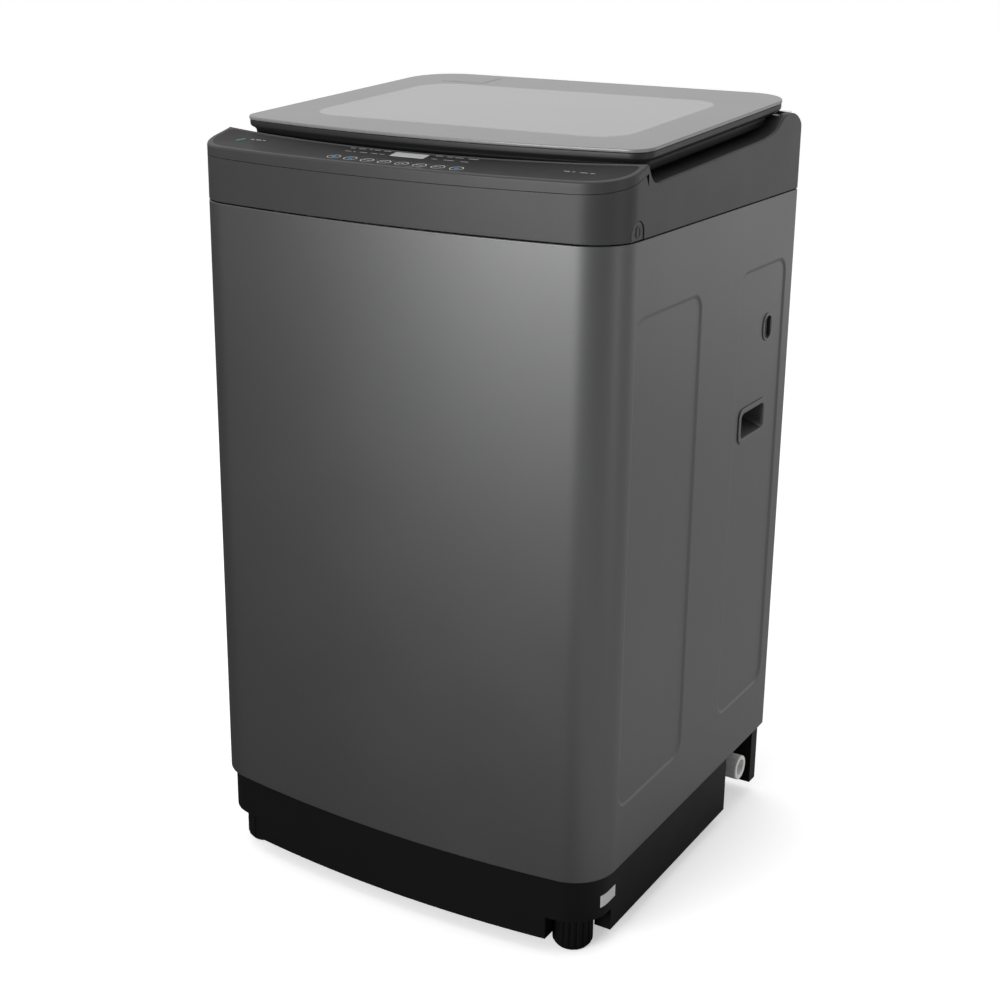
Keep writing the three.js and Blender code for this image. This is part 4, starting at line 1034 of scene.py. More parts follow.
def front_feet():
    """Levelling feet: a ribbed grip with a bevelled sole, on a threaded stem."""
    ribs, points_per_rib = 18, 8
    for _, name in SIDES:
        low, high = node_box(f"front_foot_{name}")
        cx, cy, _ = node_middle(f"front_foot_{name}")
        radius, top = (high[0] - low[0]) / 2, 47

        def ring(reach, z, depth):
            points = []
            count = ribs * points_per_rib
            for i in range(count):
                angle = 2 * math.pi * i / count
                wave = 0.5 - 0.5 * math.cos(ribs * angle)
                r = reach - depth * wave**3
                points.append((cx + r * math.cos(angle), cy + r * math.sin(angle), z))
            return points

        bm = bmesh.new()
        levels = [(17, 0, 0), (19.3, 0.3, 0), (20.2, 1, 0.2), (23.4, 5, 1.2), (24.2, 6.6, 1.6)]
        levels += [(radius, 9, 2.0), (radius, 41, 2.0), (radius - 0.5, 44.5, 1.6)]
        levels += [(radius - 2, 46.4, 0.6), (radius - 4, top, 0)]
        loft(bm, [ring(*level) for level in levels], low_cap=True, high_cap=True)
        thread = [(8, top - 1)]
        for k in range(20):
            thread += [(8, top + 2 * k + 0.2), (6.9, top + 2 * k + 1.0), (8, top + 2 * k + 1.8)]
        thread = [(r, z) for r, z in thread if z < high[2] - 1] + [(7, high[2])]
        turned(bm, thread, (cx, cy, 0), 40)
        piece(f"levelling_foot_{name}", bm, f"foot_{name}", "base_plastic", [f"front_foot_{name}"])


def rear_feet():
    """Fixed rubber feet at the back."""
    for _, name in SIDES:
        top = node_box(f"rear_foot_{name}")[1][2]
        x, y, _ = node_middle(f"rear_foot_{name}")
        bm = bmesh.new()
        pad = [(0, 0), (18, 0), (20, 4), (20, 17), (12, 19.6), (5, 19.7), (5, top - 1), (0, top)]
        turned(bm, softened(pad, 1.2, 3, False), (x, y, 0), 48)
        piece(f"rear_pad_{name}", bm, "root", "rubber", [f"rear_foot_{name}"])


def drain_stub():
    """Milky spigot with a thick rounded lip."""
    low, high = node_box("drain_spigot")
    _, y, z = node_middle("drain_spigot")
    reach = high[0] - low[0]
    profile = [(13.2, 5), (13.2, 0.5), (19.8, 0.5), (19.8, 6), (16.2, 7), (16.2, reach - 20)]
    profile += [(17, reach - 18), (17, reach - 0.2), (11.2, reach - 0.2), (10.8, reach - 8)]
    profile += [(12.4, reach - 14), (12.4, 6)]
    bm = bmesh.new()
    turned(bm, softened(profile, 1.5, 4), (low[0], y, z), 56, "X", loop=True)
    piece("drain_stub", bm, "root", "white_plastic", ["drain_spigot"])


def base_label():
    """Blank sticker on the base's right side, with one faint printed line."""
    outline = bowed(CABINET, BASE_INSET)
    face = outline.length_at(273.4, -203)
    for name, slot, height, width, z, lift in (
        ("base_sticker", "label", 15.5, 33, 69.5, 0.12),
        ("base_sticker_line", "print_grey", 1.0, 25, 70.5, 0.18),
    ):
        bm = bmesh.new()
        rings = []
        for k in range(13):
            x, y = outline.at(face + width * (k / 12 - 0.5), -lift)
            rings.append([(x, y, z - height / 2), (x, y, z + height / 2)])
        loft(bm, rings, closed=False, flip=True)
        piece(name, bm, "root", "base_plastic", thickness=lift * 0.6, materials=[slot])


# ----------------------------------------
# Top cover and control panel
# ----------------------------------------


def panel_height(y):
    """Height of the control panel, which curves up from the front."""
    return PANEL_FRONT_Z + PANEL_CURVE * max(y - FRONT, 0.0) ** 2


def parting_height(y):
    """Height of the line between the control panel and the cover."""
    share = min(max((y - FRONT) / PARTING_RUN, 0.0), 1.0)
    return panel_height(y) - PARTING_DROP + PARTING_RISE * share


def deck_height(y):
    """Height of the sloping deck round the mouth."""
    return DECK_Z + DECK_SLOPE * (y + 150)


def panel_edge(x, shift=0.0):
    """Depth of the control panel's bowed back edge."""
    return PANEL_EDGE + shift + BOW_RADIUS - math.sqrt(BOW_RADIUS**2 - x * x)


CREST = [(-184, 927.5), (-181.6, 925), (-177, 917), (-169, 909), (-159, 906)]
RIM = [(-148, deck_height(-148) + 0.4)] + [(y, deck_height(y)) for y in (-60, 40, 130)]
RISE = [(158, 928.5), (172, 933.5), (182, 940), (192, 945.5), (202, 947)]
FALL = [(214, 946.8), (225, 945.4), (235, 941.8), (243, 936), (249, 928), (253, 918), (255.1, 906)]
cheek_height = eased(CREST + RIM + RISE + FALL)


def cover_height(x, y):
    """Height of the cover's upper surface: cheeks outside, the deck, console and channel between them."""
    cheek = cheek_height(y)
    if y < 0:
        inner = mix(STEP_Z, cheek, smoothstep((y + 161) / 3))
        wall = 268
    else:
        inner = min(cheek, CONSOLE_Z + CONSOLE_RIDGE * smoothstep((y - 186) / 7))
        gap = CHANNEL_RADIUS**2 - (y - HINGE_Y) ** 2
        if gap > 0:
            inner = min(inner, HINGE_Z - math.sqrt(gap))
        wall = 269.8
    return mix(inner, cheek, smoothstep((abs(x) - wall) / 1.6))


# Where the cover is cut across, closer together where its cheeks bend
COVER_ROWS = [-182.4, -181, -179, -177, -174, -171, -168, -164, -161.2, -159.6, -158, -154, -148]
COVER_ROWS += [-120, -80, -40, 0, 40, 80, 110, 130, 145, 152, 158, 162, 167, 172, 177, 182, 187, 192]
COVER_ROWS += [197, 200.5, 203.2, 204.6, 207, 211, 216, 222, 228, 234, 240, 244]
# How far out the deck and the cheek are split along each of those rows
DECK_SPLITS = (0, 60, 120, 180, 205, 230, 250, 262)
CHEEK_SPLITS = [267.9, 268.4, 268.9, 269.6, 269.9, 270.4, 270.9, 271.4, HALF_WIDTH - EDGE_ROLL - 0.8]


def under_panel(y):
    """Whether the control panel covers the cover's outer wall there."""
    return y < PANEL_SIDE_Y


def cover_wall(bm, outline):
    """Outer wall of the cover, rolled at both edges."""
    hem = reversed(roll(0.9, 3))
    levels = [at_height(outline.ring(inset), COVER_BOTTOM + drop) for inset, drop in hem]
    for inset, drop in roll(EDGE_ROLL, 6):
        ring = []
        for (x, y), (_, y0) in zip(outline.ring(inset), outline.points):
            z = parting_height(y0) - 0.6 if under_panel(y0) else cheek_height(y) - drop
            ring.append((x, y, z))
        levels.append(ring)
    loft(bm, levels)


def cover_border(outline):
    """Edge of the cover's upper surface: the wall's inside, and the panel's back edge in front."""
    pairs = zip(outline.ring(EDGE_ROLL), outline.points)
    inner = [point for point, (_, y0) in pairs if not under_panel(y0)]
    split = next(i for i, (x, y) in enumerate(inner) if x > 0 and inner[i - 1][0] < 0 and y < 0)
    start, stop = inner[split - 1][0], inner[split][0]
    bend = [start + k * (stop - start) / 40 for k in range(1, 40)]
    return inner[:split] + [(x, panel_edge(x, 0.3)) for x in bend] + inner[split:]


def cover_lines():
    """Lines across the cover's upper surface, clear of the mouth, that its mesh follows."""
    _, mouth_y, mouth_x, mouth_half, corner = MOUTH
    lines = []
    for y in COVER_ROWS:
        clear = -1.0
        if abs(y - mouth_y) < mouth_half + 5:
            dy = max(abs(y - mouth_y) - (mouth_half - corner), 0.0)
            clear = mouth_x - corner + math.sqrt(max((corner + 5.5) ** 2 - dy * dy, 0.0))
        for side in (-1, 1):
            xs = [max(clear, 0)] + [x for x in DECK_SPLITS if x > clear + 4] + CHEEK_SPLITS
            line = [(side * x, y) for x in sorted(set(xs)) if y > panel_edge(x, 0.9)]
            if len(line) > 1:
                lines.append((line, False))
    return lines


def cover_surface(bm, outline):
    """Upper surface of the cover, rolled down into the mouth and its wall."""
    border = cover_border(outline)
    mouth = rounded(MOUTH, 0, 12).ring()
    rings = [(rounded(MOUTH, inset, 12).ring(), True) for inset, _ in roll(MOUTH_ROLL, 5)]

    def lift(x, y):
        reach = min(max(-inside_rounded(MOUTH, x, y), 0.0), MOUTH_ROLL)
        lip = MOUTH_ROLL - math.sqrt(max(MOUTH_ROLL**2 - (MOUTH_ROLL - reach) ** 2, 0.0))
        return x, y, cover_height(x, y) - lip

    def keep(x, y):
        return within(border, x, y) and not within(mouth, x, y)

    fill(bm, [(border, True)] + rings + cover_lines(), [], keep, lift)
    loft(bm, [at_height(mouth, MOUTH_BOTTOM), [lift(x, y) for x, y in mouth]], flip=True)


def clip_arch(name, half, foot, steps):
    """Outline of the arched recess in the cover's side, as y and z."""
    _, y, _ = node_middle(f"cover_clip_{name}")
    top = arc(y, CLIP_TOP - CLIP_HALF, half, 0, 180, steps)
    return [(y - half, foot), (y + half, foot)] + [(a, b) for a, b, _, _ in top]


def cover_shell():
    """Top cover: outer wall, cheeks, deck, mouth and hinge channel, with its openings cut."""
    outline = bowed(CABINET, 0, [PANEL_SIDE_Y - 0.2] + COVER_ROWS)
    bm = bmesh.new()
    cover_wall(bm, outline)
    cover_surface(bm, outline)
    shell = scratch(bm, "cover_shell")
    thicken(shell, 1.6)

    tools = [block(-79, 79, 140, 152, 865, 909)]
    for side, name in SIDES:
        arch = clip_arch(name, CLIP_HALF, COVER_BOTTOM - 3, 20)
        bm = bmesh.new()
        levels = [[(x, a, b) for a, b in arch] for x in mirrored(side, 270, 285)]
        loft(bm, levels, low_cap=True, high_cap=True)
        tools.append(scratch(bm, "tool"))
    for x in inlet_places():
        bm = bmesh.new()
        turned(bm, [(0, 0), (16, 0), (16, 30), (0, 30)], (x, BACK - 10, inlet_height()), 48, "Y")
        tools.append(scratch(bm, "tool"))
    combine(shell, "DIFFERENCE", *tools)
    dress(shell, "root", "cover_plastic", ["top_cover"], sharp=45)


def inlet_places():
    """How far across the two water inlets are."""
    low, high = node_box("inlet_valve")
    return low[0] + 18, high[0] - 18


def inlet_height():
    """Height of the water inlets' middle."""
    return node_box("inlet_valve")[1][2] - 17


def screw_caps():
    """Arched cap with an oval boss, in each side recess of the cover."""
    for side, name in SIDES:
        low, high = node_box(f"cover_clip_{name}")
        _, y, _ = node_middle(f"cover_clip_{name}")
        inner = min(abs(low[0]), abs(high[0])) - 0.2
        face = inner + 1.1
        boss = (y + 1, COVER_BOTTOM + 9, 5.2, 6.8, 5.1)
        arch = clip_arch(name, CLIP_HALF - 0.4, COVER_BOTTOM + 0.2, 24)
        bm = bmesh.new()
        cap = [on_side(arch, inner, side)]
        cap += [on_side(offset_loop(arch, inset), face - drop, side) for inset, drop in roll(0.5, 3)]
        loft(bm, cap, low_cap=True, high_cap=True)
        rims = [(0, 1.0), (0, 1.6), (0.5, 2.0), (1.6, 2.0), (2.1, 1.6), (2.4, 1.3)]
        rings = [side_ring(boss, -inset, inner + rise, side) for inset, rise in rims]
        loft(bm, rings, low_cap=True, high_cap=True)
        piece(f"screw_cap_{name}", bm, "root", "cover_plastic", [f"cover_clip_{name}"])


def panel_loop(inset=0.0, shift=0.0):
    """Plan outline of the control panel, inset from the cabinet's outline and its own back edge."""
    outline = bowed(CABINET, inset, [PANEL_SIDE_Y - 12, PANEL_SIDE_Y - 6])
    line = [p for p in outline.points if p[1] < panel_edge(p[0], shift) - 0.5]
    x_end = HALF_WIDTH - inset
    ends = [(-x_end, panel_edge(x_end, shift)), (x_end, panel_edge(x_end, shift))]
    back = [x_end * (1 - 2 * k / PANEL_BACK_STEPS) for k in range(1, PANEL_BACK_STEPS)]
    return [ends[0]] + line + [ends[1]] + [(x, panel_edge(x, shift)) for x in back]


def film_outline():
    """Plan outline of the film, with rounded corners."""
    return fillet(panel_loop(FILM_INSET, FILM_BACK), 7)


def panel_moulding():
    """Control panel moulding: a skirt down to the parting line and a ledge that holds the film."""
    loop = panel_loop()
    film = film_outline()
    bm = bmesh.new()

    def foot(x, y):
        return STEP_Z + 0.4 if y > panel_edge(x) - 0.2 else parting_height(y)

    def moved_in(inset):
        """The loop moved in, but for its back edge, which stays nearly sharp."""
        moved = offset_loop(loop, inset)
        for i in range(-PANEL_BACK_STEPS, 1):
            x, _ = moved[i]
            moved[i] = (x, panel_edge(x, -min(inset, 0.5)))
        return moved

    rings = [[(x, y, foot(x, y)) for x, y in loop]]
    for inset, drop in roll(EDGE_ROLL, 6):
        rings.append([(x, y, panel_height(y) - drop) for x, y in moved_in(inset)])
    loft(bm, rings)
    border = moved_in(EDGE_ROLL)
    step = offset_loop(film, -0.25)
    ledge = offset_loop(film, 3)

    def keep(x, y):
        return within(border, x, y) and not within(step, x, y)

    fill(bm, [(border, True), (step, True)], [], keep, lambda x, y: (x, y, panel_height(y)))
    levels = [(step, 0), (offset_loop(step, 0.15), -0.12), (offset_loop(step, 0.2), -1.0)]
    levels.append((ledge, -1.0))
    loft(bm, [[(x, y, panel_height(y) + rise) for x, y in points] for points, rise in levels])
    piece("panel_moulding", bm, "root", "cover_plastic", ["control_panel"], thickness=1.2)


def key_place(i):
    """Where a key is, as x and y."""
    x, y, _ = node_middle(f"soft_key_{i + 1}")
    return x, y


def display_shape(grow=0.0, corner=1.0):
    """Plan of the display window, as a rounded rectangle."""
    low, high = node_box("display_window")
    x, y, _ = node_middle("display_window")
    return x, y, (high[0] - low[0]) / 2 + grow, (high[1] - low[1]) / 2 + grow, corner


def film_sheet():
    """Dark film over the panel, open round the keys and the display."""
    film = film_outline()
    keys = [key_place(i) for i in range(KEY_COUNT)]
    display = display_shape(0.3, 1.2)
    border = offset_loop(film, 0.35)
    hole = (KEY_HOLE, KEY_HOLE, KEY_HOLE - 0.01)
    paths = [(border, True), (rounded(display, 0, 4).ring(), True)]
    paths += [(rounded((x, y, *hole), 0, 12).ring(), True) for x, y in keys]

    def clear(loop, gap, x, y):
        """Whether a place is inside a loop, and outside the display and the keys by a gap."""
        if not within(loop, x, y) or inside_rounded(display, x, y) > -max(gap, 0.0):
            return False
        return all(math.hypot(x - kx, y - ky) > KEY_HOLE + gap for kx, ky in keys)

    margin = offset_loop(film, 3)
    grid = [(-270 + 9 * i, -275 + 9 * k) for i in range(61) for k in range(11)]
    free = [(x, y) for x, y in grid if clear(margin, 1.5, x, y)]

    def keep(x, y):
        return clear(border, -0.2, x, y)

    bm = bmesh.new()
    fill(bm, paths, free, keep, lambda x, y: (x, y, panel_height(y) - 0.05))
    edge = [(border, -0.05), (offset_loop(film, 0.15), -0.2), (offset_loop(film, 0.1), -0.6)]
    loft(bm, [[(x, y, panel_height(y) + rise) for x, y in points] for points, rise in reversed(edge)])
    piece("film_sheet", bm, "root", "panel_film", ["panel_film"], thickness=0.25)


def bars(bm, places, lift_by):
    """Thin printed bars with round ends, each given as x, y, length, height and turn in degrees."""
    for x, y, length, height, turn in places:
        corner = height / 2 * 0.98
        shape = (0, 0, length / 2, height / 2, corner)
        c, s = math.cos(math.radians(turn)), math.sin(math.radians(turn))
        rings = []
        for grow, rise in ((0, lift_by - 0.06), (0, lift_by), (-0.05, lift_by + 0.02)):
            ring = []
            for u, v in rounded(shape, grow, 5).ring():
                px, py = x + u * c - v * s, y + u * s + v * c
                ring.append((px, py, panel_height(py) + rise))
            rings.append(ring)
        loft(bm, rings, high_cap=True, low_cap=True)


def soft_keys():
    """Round keys with a printed ring, each with a plain generic mark."""
    levels = [(5.5, -6.4), (8.1, -6.4), (8.1, -0.4), (8.0, -0.15), (7.9, -0.05), (7.0, -0.05)]
    levels += [(6.85, -0.06), (5, -0.12), (2.5, -0.16), (0.3, -0.18)]
    printed = 4
    for i in range(KEY_COUNT):
        x, y = key_place(i)
        body = f"key_{i + 1}"
        rings = []
        for radius, drop in levels:
            ring = []
            for k in range(48):
                angle = 2 * math.pi * k / 48
                px, py = x + radius * math.cos(angle), y + radius * math.sin(angle)
                ring.append((px, py, panel_height(py) + drop))
            rings.append(ring)
        bm = bmesh.new()
        loft(bm, rings, low_cap=True, high_cap=True, paint=lambda level: 1 if level == printed else 0)
        finishes = ["key_caps", "print_grey"]
        piece(f"key_cap_{i + 1}", bm, body, "key_caps", [f"soft_key_{i + 1}"], materials=finishes)
        bm = bmesh.new()
        if i in BLUE_KEYS:
            marks, colour = [(x, y, 6.0, 3.2, 25)], "print_blue"
        else:
            marks, colour = [(x - 3.0, y, 3.0, 1.1, 0), (x + 1.8, y, 4.4, 1.1, 0)], "print_grey"
        bars(bm, marks, 0.04)
        piece(f"key_mark_{i + 1}", bm, body, "key_caps", materials=[colour])


def dashes(x0, x1, y, height, pattern):
    """A row of short bars that fill the space between two places: a 0 in the pattern leaves a gap."""
    gap = 1.4
    scale = (x1 - x0) / (sum(pattern) + gap * (len(pattern) - 1))
    out, x = [], x0
    for width in pattern:
        if width:
            out.append((x + width * scale / 2, y, width * scale, height, 0))
        x += (width + gap) * scale
    return out


def panel_print():
    """Generic bars where the control panel carries its legends."""
    rows = dashes(-79, -24, -212, 1.3, (4, 0, 6, 0, 3, 5, 0, 6))
    rows += dashes(-79, -25, -223.5, 1.3, (5, 2, 0, 6, 0, 5, 4))
    rows += dashes(35, 90, -212, 1.3, (5, 0, 4, 6, 0, 7))
    rows += dashes(36, 84, -223, 1.3, (4, 0, 0, 7, 0, 0, 5))
    rows += dashes(30, 52, -264.5, 1.0, (5, 0, 4))
    rows += dashes(200, 237, -221.5, 1.8, (4, 2, 0, 5, 3))
    rows += dashes(-221, -199, -215, 2.4, (4, 6, 3))
    rows += [(key_place(i)[0] + 7.2, key_place(i)[1] + 8.2, 1.4, 1.4, 0) for i in range(2, 7)]
    bm = bmesh.new()
    bars(bm, rows, 0.0)
    piece("panel_legends", bm, "root", "panel_film", materials=["print_faint"])
    bm = bmesh.new()
    bars(bm, [(-233, -219, 12, 2.6, 52)], 0.0)
    piece("panel_accent", bm, "root", "panel_film", materials=["print_green"])


def display_lens():
    """Display window with a softened edge."""
    shape = display_shape()
    bm = bmesh.new()
    rings = []
    for inset, drop in [(0.0, 3.0), (0.0, 0.4), (0.12, 0.15), (0.4, 0.05)]:
        rings.append([(x, y, panel_height(y) - drop) for x, y in rounded(shape, -inset, 4).ring()])
    loft(bm, rings, low_cap=True, high_cap=True)
    piece("display_lens", bm, "root", "display_glass", ["display_window"])


# ----------------------------------------
# Lid
# ----------------------------------------

LID_PLACE = Matrix.Translation((0, 0, LID_Z)) @ Matrix.Rotation(LID_TILT, 4, "X")


def on_lid(x, y, z):
    """A place on the tilted lid: z is its height over the top of the glass."""
    return tuple(LID_PLACE @ Vector((x, y, z)))


def tilted(points, z):
    """A plan outline's points, laid on the tilted lid."""
    return [on_lid(x, y, z) for x, y in points]


def lid_outline(side_stations=()):
    """Plan outline of the lid's glass."""
    return bowed(LID, 0, side_stations, 56, 12, 16)


def lid_sheet(bm, paths, levels, keep, paint=None):
    """A flat face at each of two levels of the lid, the first looking up and the second down."""
    for z, flip in zip(levels, (False, True)):
        fill(bm, paths, [], keep, lambda x, y, z=z: on_lid(x, y, z), paint, flip)


def lid_pane():
    """Tempered glass with a ground edge, a printed border and a lighter window."""
    outline = lid_outline()
    bevel = [(1.1, 0.0), (0.5, -0.15), (0.12, -0.6), (0, -1.4)]
    edge = [(inset, -GLASS - z) for inset, z in bevel] + bevel[::-1]
    bm = bmesh.new()
    loft(bm, [tilted(outline.ring(inset), z) for inset, z in edge])
    border = outline.ring(1.1)
    window = rounded(LID_WINDOW, 0, 14).ring()

    def paint(x, y):
        return 1 if inside_rounded(LID_WINDOW, x, y) > 0 else 0

    def keep(x, y):
        return within(border, x, y)

    lid_sheet(bm, [(border, True), (window, True)], (0.0, -GLASS), keep, paint)
    piece("lid_pane", bm, "lid", "lid_glass", ["lid_glass"], materials=["lid_glass", "lid_window"])


def lid_film():
    """Blank film label in the glass's rear left corner, with a faint outline."""
    label = (-178, 205, 32, 26, 4)
    edge = ((0, 0.02), (0, 0.22), (0.3, 0.3))
    bm = bmesh.new()
    loft(bm, [tilted(rounded(label, -inset, 6).ring(), z) for inset, z in edge], low_cap=True, high_cap=True)
    piece("lid_film_label", bm, "lid", "lid_glass")


def lid_band():
    """Moulded band under the glass, with a groove and an inner flange."""
    outline = lid_outline()
    profile = [(1.1, -4.6), (0.8, -5.2), (0.8, -9.6), (1.3, -11.0), (2.6, -12.4), (5.4, -14.0)]
    profile += [(6.2, -14.7), (6.6, -15.6), (7.4, -16.1), (16, -16.1), (16, -16.7), (24, -16.7)]
    profile += [(24, -4.8), (23.6, -4.4), (1.4, -4.4)]
    bm = bmesh.new()
    loft(bm, [tilted(outline.ring(inset), z) for inset, z in profile], loop=True, flip=True)
    piece("lid_band", bm, "lid", "cover_plastic", ["lid_frame"], materials=["lid_band"])


def lid_skirt():
    """Lower skirt round the front and sides of the lid, ending before the hinge, coloured near-black as
    painted shade under the band.
    """
    outline = lid_outline((-100, 0, 100, SKIRT_END))
    profile = [(7.9, -16.4), (7.6, -17.6), (7.9, -19.4), (9.4, -24.8), (10.2, -26.8), (11.2, -27.4)]
    profile += [(12.2, -27.4), (13.2, -27.0), (13.6, -26.2), (13.6, -16.4)]
    bm = bmesh.new()
    rings = []
    for (x, y), (nx, ny) in zip(outline.points, outline.normals):
        if y < SKIRT_END + 0.01:
            rings.append([on_lid(x - nx * inset, y - ny * inset, z) for inset, z in profile])
    loft(bm, rings, low_cap=True, high_cap=True)
    # The skirt gets the near-black liner colour instead of the cover plastic: painted shade for the shadow
    # under the band's overhang
    piece("lid_skirt", bm, "lid", "cover_plastic", materials=["lid_liner"])


def lid_liner():
    """Liner under the printed border of the glass, open under the window."""
    outer = [(x, min(y, LINER_BACK)) for x, y in bowed(LID, 24.5, (), 40, 8, 12).points]
    border = [point for i, point in enumerate(outer) if point != outer[i - 1]]
    window = rounded(LID_WINDOW, 2, 10).ring()

    def keep(x, y):
        return within(border, x, y) and not within(window, x, y)

    bm = bmesh.new()
    lid_sheet(bm, [(border, True), (window, True)], (LINER_HIGH, LINER_LOW), keep)
    loft(bm, [tilted(border, z) for z in (LINER_LOW, LINER_HIGH)])
    loft(bm, [tilted(window, z) for z in (LINER_LOW, LINER_HIGH)], flip=True)
    liner = scratch(bm, "lid_lining")
    dress(liner, "lid", "cover_plastic", ["lid_liner"], materials=["lid_liner"], bevel=0.6)


def lid_lugs():
    """Lugs that hang from the lid and hold the hinge rod."""
    drop = LID_Z - HINGE_Z
    z = -drop * math.cos(LID_TILT) - HINGE_Y * math.sin(LID_TILT)
    y = HINGE_Y * math.cos(LID_TILT) - drop * math.sin(LID_TILT)
    round_end = [(a, b) for a, b, _, _ in arc(y, z, 7, 180, 360, 16)]
    tab = [(y - 8, -8.0)] + round_end + [(y + 8, -8.0)]
    bm = bmesh.new()
    for x in LUG_PLACES:
        rings = []
        for px, inset in [(x - 9, 0.6), (x - 8.5, 0.0), (x + 8.5, 0.0), (x + 9, 0.6)]:
            rings.append([on_lid(px, a, b) for a, b in offset_loop(tab, inset)])
        loft(bm, rings, low_cap=True, high_cap=True)
    piece("lid_lugs", bm, "lid", "cover_plastic")


def hinge_rod():
    """Steel rod that the lid turns on, with bevelled ends."""
    reach = 2 * HINGE_REACH
    rod = [(0, 0), (2.4, 0), (3, 0.8), (3, reach - 0.8), (2.4, reach), (0, reach)]
    bm = bmesh.new()
    turned(bm, rod, (-HINGE_REACH, HINGE_Y, HINGE_Z), 32, "X")
    piece("hinge_rod", bm, "lid", "stainless", ["lid_hinge_rod"])


# ----------------------------------------
# Dispenser and water inlets
# ----------------------------------------


def upright(shape, grow, y, steps=6):
    """A rounded rectangle that stands across the machine."""
    return [(x, y, z) for x, z in rounded(shape, grow, steps).ring()]


def soft_block(bm, x, y, z):
    """A solid with rounded upright edges and rolled ends, from its three (low, high) ranges."""
    shape = ((x[0] + x[1]) / 2, (y[0] + y[1]) / 2, (x[1] - x[0]) / 2, (y[1] - y[0]) / 2, 3)
    ends = roll(1.5, 3)
    rings = [at_height(rounded(shape, -inset, 4).ring(), z[0] + drop) for inset, drop in reversed(ends)]
    rings += [at_height(rounded(shape, -inset, 4).ring(), z[1] - drop) for inset, drop in ends]
    loft(bm, rings, low_cap=True, high_cap=True)


def water_inlets():
    """Two threaded pipes through the back of the cover, and the valve body behind them."""
    low, high = node_box("inlet_valve")
    z = inlet_height()
    bm = bmesh.new()
    for x in inlet_places():
        start, end = BACK - 14, high[1]
        profile = [(8, start), (15.4, start), (15.4, BACK + 1.5), (12.4, BACK + 2)]
        y = BACK + 3
        while y < end - 2.6:
            profile += [(12.0, y), (13.0, y + 0.7), (13.0, y + 1.1), (12.0, y + 1.8)]
            y += 1.9
        profile += [(12.0, end - 1.2), (11.6, end), (8.6, end), (8, end - 0.6)]
        turned(bm, profile, (x, 0, z), 56, "Y", loop=True)
    soft_block(bm, (low[0], high[0]), (low[1], BACK - 8), (z - 17, z + 17))
    soft_block(bm, (low[0] + 6, high[0] - 6), (low[1] + 2, BACK - 16), (low[2], z - 16.5))
    piece("water_inlets", bm, "root", "white_plastic", ["inlet_valve"])


def detergent_tray():
    """Two-room drawer with rounded walls behind a flat front."""
    low, high = node_box("detergent_drawer")
    half, y0, y1, z0, z1 = high[0], low[1], high[1], low[2], high[2]
    front, rim = y0 + 2.5, z1 - 4
    middle, depth = (front + y1) / 2, (y1 - front) / 2
    body = (0, middle, half, depth, 3)
    rooms = [(x, middle + 0.5, 36.5, depth - 3.2, 4) for x in (-39, 39)]
    outer = rounded(body, 0, 4).ring()
    bm = bmesh.new()
    rings = [at_height(rounded(body, -inset, 4).ring(), z0 + drop) for inset, drop in roll(1.5, 3)[::-1]]
    loft(bm, rings + [at_height(outer, rim)], low_cap=True)
    inner = [rounded(room, 0, 5).ring() for room in rooms]

    def keep(x, y):
        return within(outer, x, y) and not any(within(loop, x, y) for loop in inner)

    fill(bm, [(loop, True) for loop in [outer] + inner], [], keep, lambda x, y: (x, y, rim))
    levels = [(0, rim), (0, z0 + 5), (-1, z0 + 3), (-3, z0 + 2.2)]
    for room in rooms:
        loft(bm, [at_height(rounded(room, grow, 5).ring(), z) for grow, z in levels], high_cap=True)
    face = (0, (z0 + z1) / 2, half, (z1 - z0) / 2, 3)
    rings = [upright(face, -inset, y0 + 0.05 + drop, 5) for inset, drop in roll(1.2, 4)[::-1]]
    loft(bm, rings + [upright(face, 0, front + 0.8, 5)], low_cap=True, high_cap=True, flip=True)
    piece("detergent_tray", bm, "drawer", "grey_plastic", ["detergent_drawer"])


# ----------------------------------------
# Wash group and drive
# ----------------------------------------


